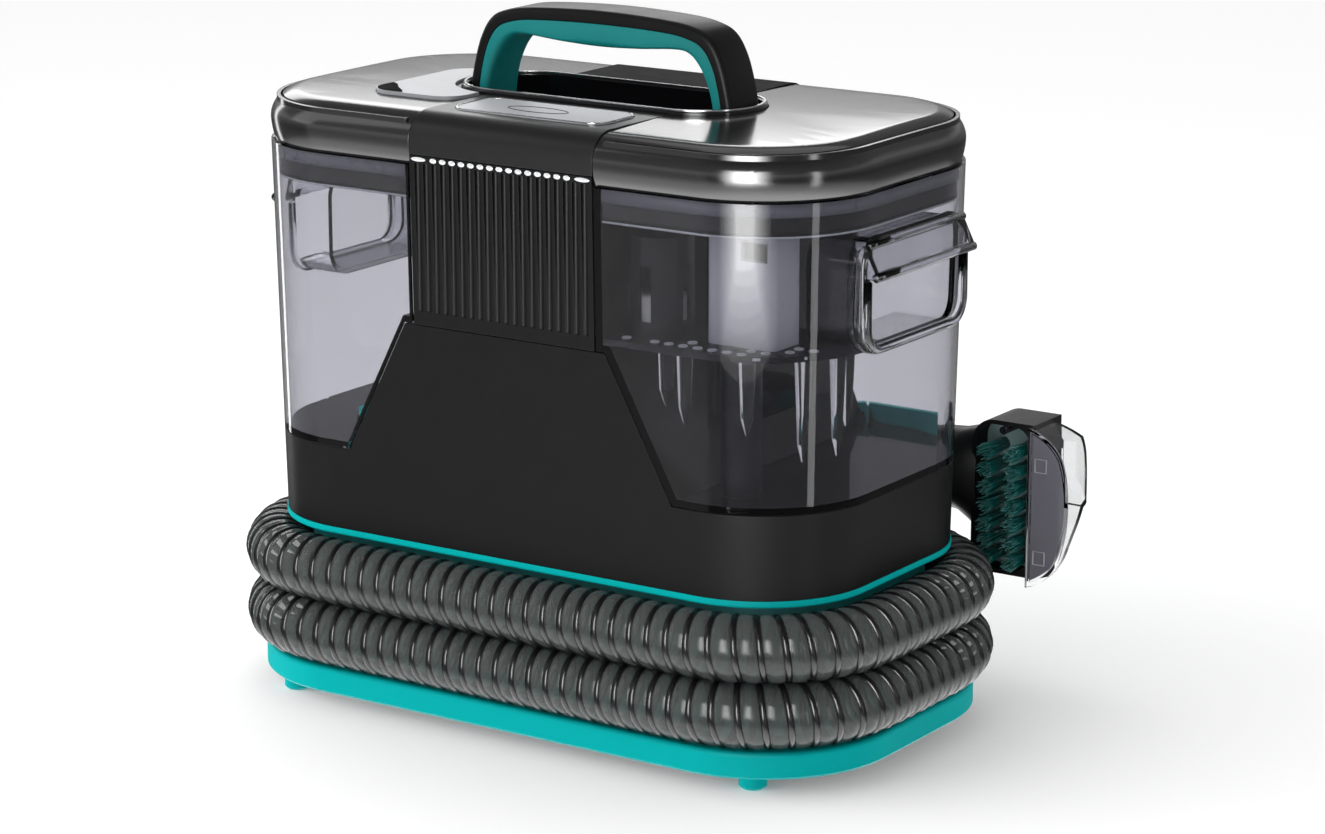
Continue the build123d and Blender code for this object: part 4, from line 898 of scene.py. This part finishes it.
def make_grip_rims():
    """Rounded bars of clear plastic round each grip's mouth: the rim, its top bar and the visor's lip."""
    turns = [math.radians(9 * i) for i in range(11)]
    middle_y, middle_z = GRIP_CORNER - GRIP_HALF, GRIP_FLOOR + GRIP_CORNER
    left = [(middle_y - GRIP_CORNER * math.cos(t), middle_z - GRIP_CORNER * math.sin(t)) for t in turns]
    right = [(-y, z) for y, z in reversed(left)]
    rim = [(-GRIP_HALF, GRIP_RIM_TOP)] + left + right + [(GRIP_HALF, GRIP_RIM_TOP)]
    bars = {"rim": ([(GRIP_X, y, z) for y, z in rim], 2.0)}
    for name, (x, reach, z, radius) in GRIP_BARS.items():
        bars[name] = ([(x, y, z) for y in (-reach, -20, 0, 20, reach)], radius)
    bar = clear("grip_bar", (0.93, 0.93, 0.96))
    for side, tank in ((-1, "clean_tank"), (1, "dirty_tank")):
        for name, (line, radius) in bars.items():
            points, faces = tube([Vector((side * x, y, z)) * MM for x, y, z in line], radius * MM, 14)
            mesh_piece(f"{tank}_grip_{name}", points, faces, tank, bar)


def flat_piece(name, outline, thickness, place, body, material):
    """A thin plate: an outline of (u, v) points in millimetres that place(u, v, depth) puts in space."""
    rings = [[place(u, v, depth) * MM for u, v in outline] for depth in (0.0, thickness)]
    points = [p for ring in rings for p in ring]
    return mesh_piece(name, points, join_rings(rings), body, material, smooth=False)


# The power button's top and the oval printed on it, in millimetres.
BUTTON_HALF_X = 39.0
BUTTON_HALF_Y = 16.0
BUTTON_Y = -51.0
BUTTON_CORNER = 9.0
BUTTON_RIM = 0.4
OVAL_SPOT = (-3.0, -51.5)
OVAL_REACH = (15.0, 5.6)
OVAL_LINE = 0.28


def make_button_marks(materials):
    """An oval printed on the power button, and a silver tube round its top: a painted highlight along the
    button's edge.
    """
    ink = surface("pad_print", (0.05, 0.05, 0.055), 0.5, grain=0.02)
    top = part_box("power_button")[1].z
    centre = Vector((*OVAL_SPOT, 0)) * MM + Vector((0, 0, top))
    points, faces = tube(oval_line(centre, *OVAL_REACH, 60), OVAL_LINE * MM, 6)
    mesh_piece("button_oval", points, faces, "power_button", ink)
    corner_x, corner_y = BUTTON_HALF_X - BUTTON_CORNER, BUTTON_HALF_Y - BUTTON_CORNER
    radius = BUTTON_CORNER - BUTTON_RIM
    rim = []
    for step in range(40):
        turn = 2 * math.pi * (step + 0.5) / 40
        along, across = math.cos(turn), math.sin(turn)
        x = math.copysign(corner_x, along) + radius * along
        y = BUTTON_Y + math.copysign(corner_y, across) + radius * across
        rim.append(Vector((x, y, top / MM - 0.1)) * MM)
    # painted highlight: the thin silver tube stands in for the light along the button's top edge
    points, faces = tube(rim + rim[:1], BUTTON_RIM * MM, 6)
    mesh_piece("button_edge_highlight", points, faces, "power_button", materials["silver_trim"])


# The finger notch at the filler flap's tip, painted as a flat dark sheet of shade, seen from above: its outer
# and its inner edge, in millimetres.
NOTCH_OUTER = [
    (-95.2, -31.0), (-95.5, -38.0), (-94.6, -42.6), (-92.2, -46.2), (-88.6, -48.6), (-84.0, -49.5),
    (-76.5, -49.5),
]
NOTCH_INNER = [(-78.5, -46.6), (-82.4, -43.0), (-86.6, -39.0), (-90.6, -34.0)]
NOTCH_THICKNESS = 0.3
NOTCH_SUNK = 0.05


def make_flap_notch():
    """A dark sheet at the tip of the filler flap: painted shade that stands in for the finger notch."""
    # painted shade: a matt black sheet stands in for the shade inside the notch
    notch_shade = surface("notch_painted_shade", (0.004, 0.004, 0.004), 0.7, grain=0.02, specular_ior_level=0.02)
    flap_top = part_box("filler_flap")[1].z / MM
    flat_piece(
        "flap_notch_shade", smooth_line(NOTCH_OUTER, 3) + smooth_line(NOTCH_INNER, 3), NOTCH_THICKNESS,
        lambda u, v, depth: Vector((u, v, flap_top - NOTCH_SUNK + depth)), "filler_flap", notch_shade,
    )


# The plate in the suction hood's mouth and its clips, in millimetres: x and z from the window's low corner.
HOOD_PLATE = [
    (0.4, 71.0), (6.0, 68.6), (12.0, 64.2), (15.6, 58.8), (17.6, 50.0), (18.3, 38.0), (17.4, 26.0),
    (15.2, 16.4), (10.6, 9.6), (5.0, 5.2), (0.4, 2.6),
]
HOOD_CLIPS = (14.0, 56.0)
CLIP_OUTLINE = [(3.0, -3.0), (8.5, -3.0), (8.5, 3.0), (3.0, 3.0), (3.0, -3.0)]
HOOD_PLATE_FRONT = 1.6  # how far behind the window's front the plate is
HOOD_PLATE_THICKNESS = 0.8
CLIP_FRONT = 1.5
CLIP_WIRE = 0.35


def make_hood_plate():
    """The smoke-grey plate inside the suction hood's mouth, with the two small clips that hold it."""
    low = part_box("suction_window")[0] / MM
    smoke = surface("hood_plate", (0.27, 0.26, 0.31), 0.22, tone=0.05, grain=0.03, alpha=0.85)
    outline = smooth_line([(low.x + u, low.z + v) for u, v in HOOD_PLATE], 4)
    flat_piece(
        "suction_plate", outline, HOOD_PLATE_THICKNESS,
        lambda u, v, depth: Vector((u, low.y + HOOD_PLATE_FRONT + depth, v)), "chassis", smoke,
    )
    rail = surface("hood_clip", (0.55, 0.54, 0.6), 0.25, tone=0.05, grain=0.03)
    for index, height in enumerate(HOOD_CLIPS):
        line = [Vector((low.x + u, low.y + CLIP_FRONT, low.z + height + v)) * MM for u, v in CLIP_OUTLINE]
        points, faces = tube(line, CLIP_WIRE * MM, 6)
        mesh_piece(f"suction_clip_{index}", points, faces, "chassis", rail, smooth=False)


def pip(centre, half_x, half_y, half_z):
    """Points and faces of a small rounded lozenge."""
    levels = 8
    turns = circle_angles(12)
    rings = []
    for i in range(levels):
        tilt = math.pi * (i + 0.5) / levels - math.pi / 2
        x, wide = half_x * math.sin(tilt), math.cos(tilt)
        y, z = -half_y * wide, half_z * wide
        rings.append([centre + Vector((x, y * math.cos(t), z * math.sin(t))) for t in turns])
    return [p for ring in rings for p in ring], join_rings(rings)


# Middle, half width and half height of the crest ends, in millimetres: 15 ribs and the panel's two side bars.
RIB_PITCH = 4.9
CREST_ENDS = [((i - 7) * RIB_PITCH, 1.8, 1.15) for i in range(15)] + [(-42.0, 3.9, 1.0), (42.0, 3.9, 1.0)]
CREST_HALF_DEPTH = 0.6
CREST_SUNK = 0.15  # how far the crest ends' middles are behind the panel's front
CREST_DROP = 1.5  # and below its top


def make_flute_pips():
    """The crest ends along the top of the fluted panel, painted pale as a highlight where the flutes catch
    the light.
    """
    low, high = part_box("front_flute_panel")
    # painted highlight: a pale colour stands in for the glints on the flute ends
    highlight_paint = surface("crest_painted_highlight", (0.85, 0.86, 0.88), 0.3, grain=0.02, metallic=0.2)
    points, faces = [], []
    for x, half_x, half_z in CREST_ENDS:
        centre = Vector((x * MM, low.y + CREST_SUNK * MM, high.z - CREST_DROP * MM))
        append_shape(points, faces, pip(centre, half_x * MM, CREST_HALF_DEPTH * MM, half_z * MM))
    mesh_piece("flute_crest_ends", points, faces, "chassis", highlight_paint)


make_camera()
make_stage()
materials = make_materials()
finish_nodes(materials)
make_hose(materials)
make_handle(materials)
make_bristles(materials)
make_tank_lines()
make_flute_pips()
make_grip_rims()
make_separator_rims()
make_button_marks(materials)
make_flap_notch()
make_hood_plate()
for lid, body in (("clean_tank_lid", "clean_lid"), ("dirty_tank_lid", "dirty_lid")):
    make_lid(lid, body, materials["lid_plastic"])
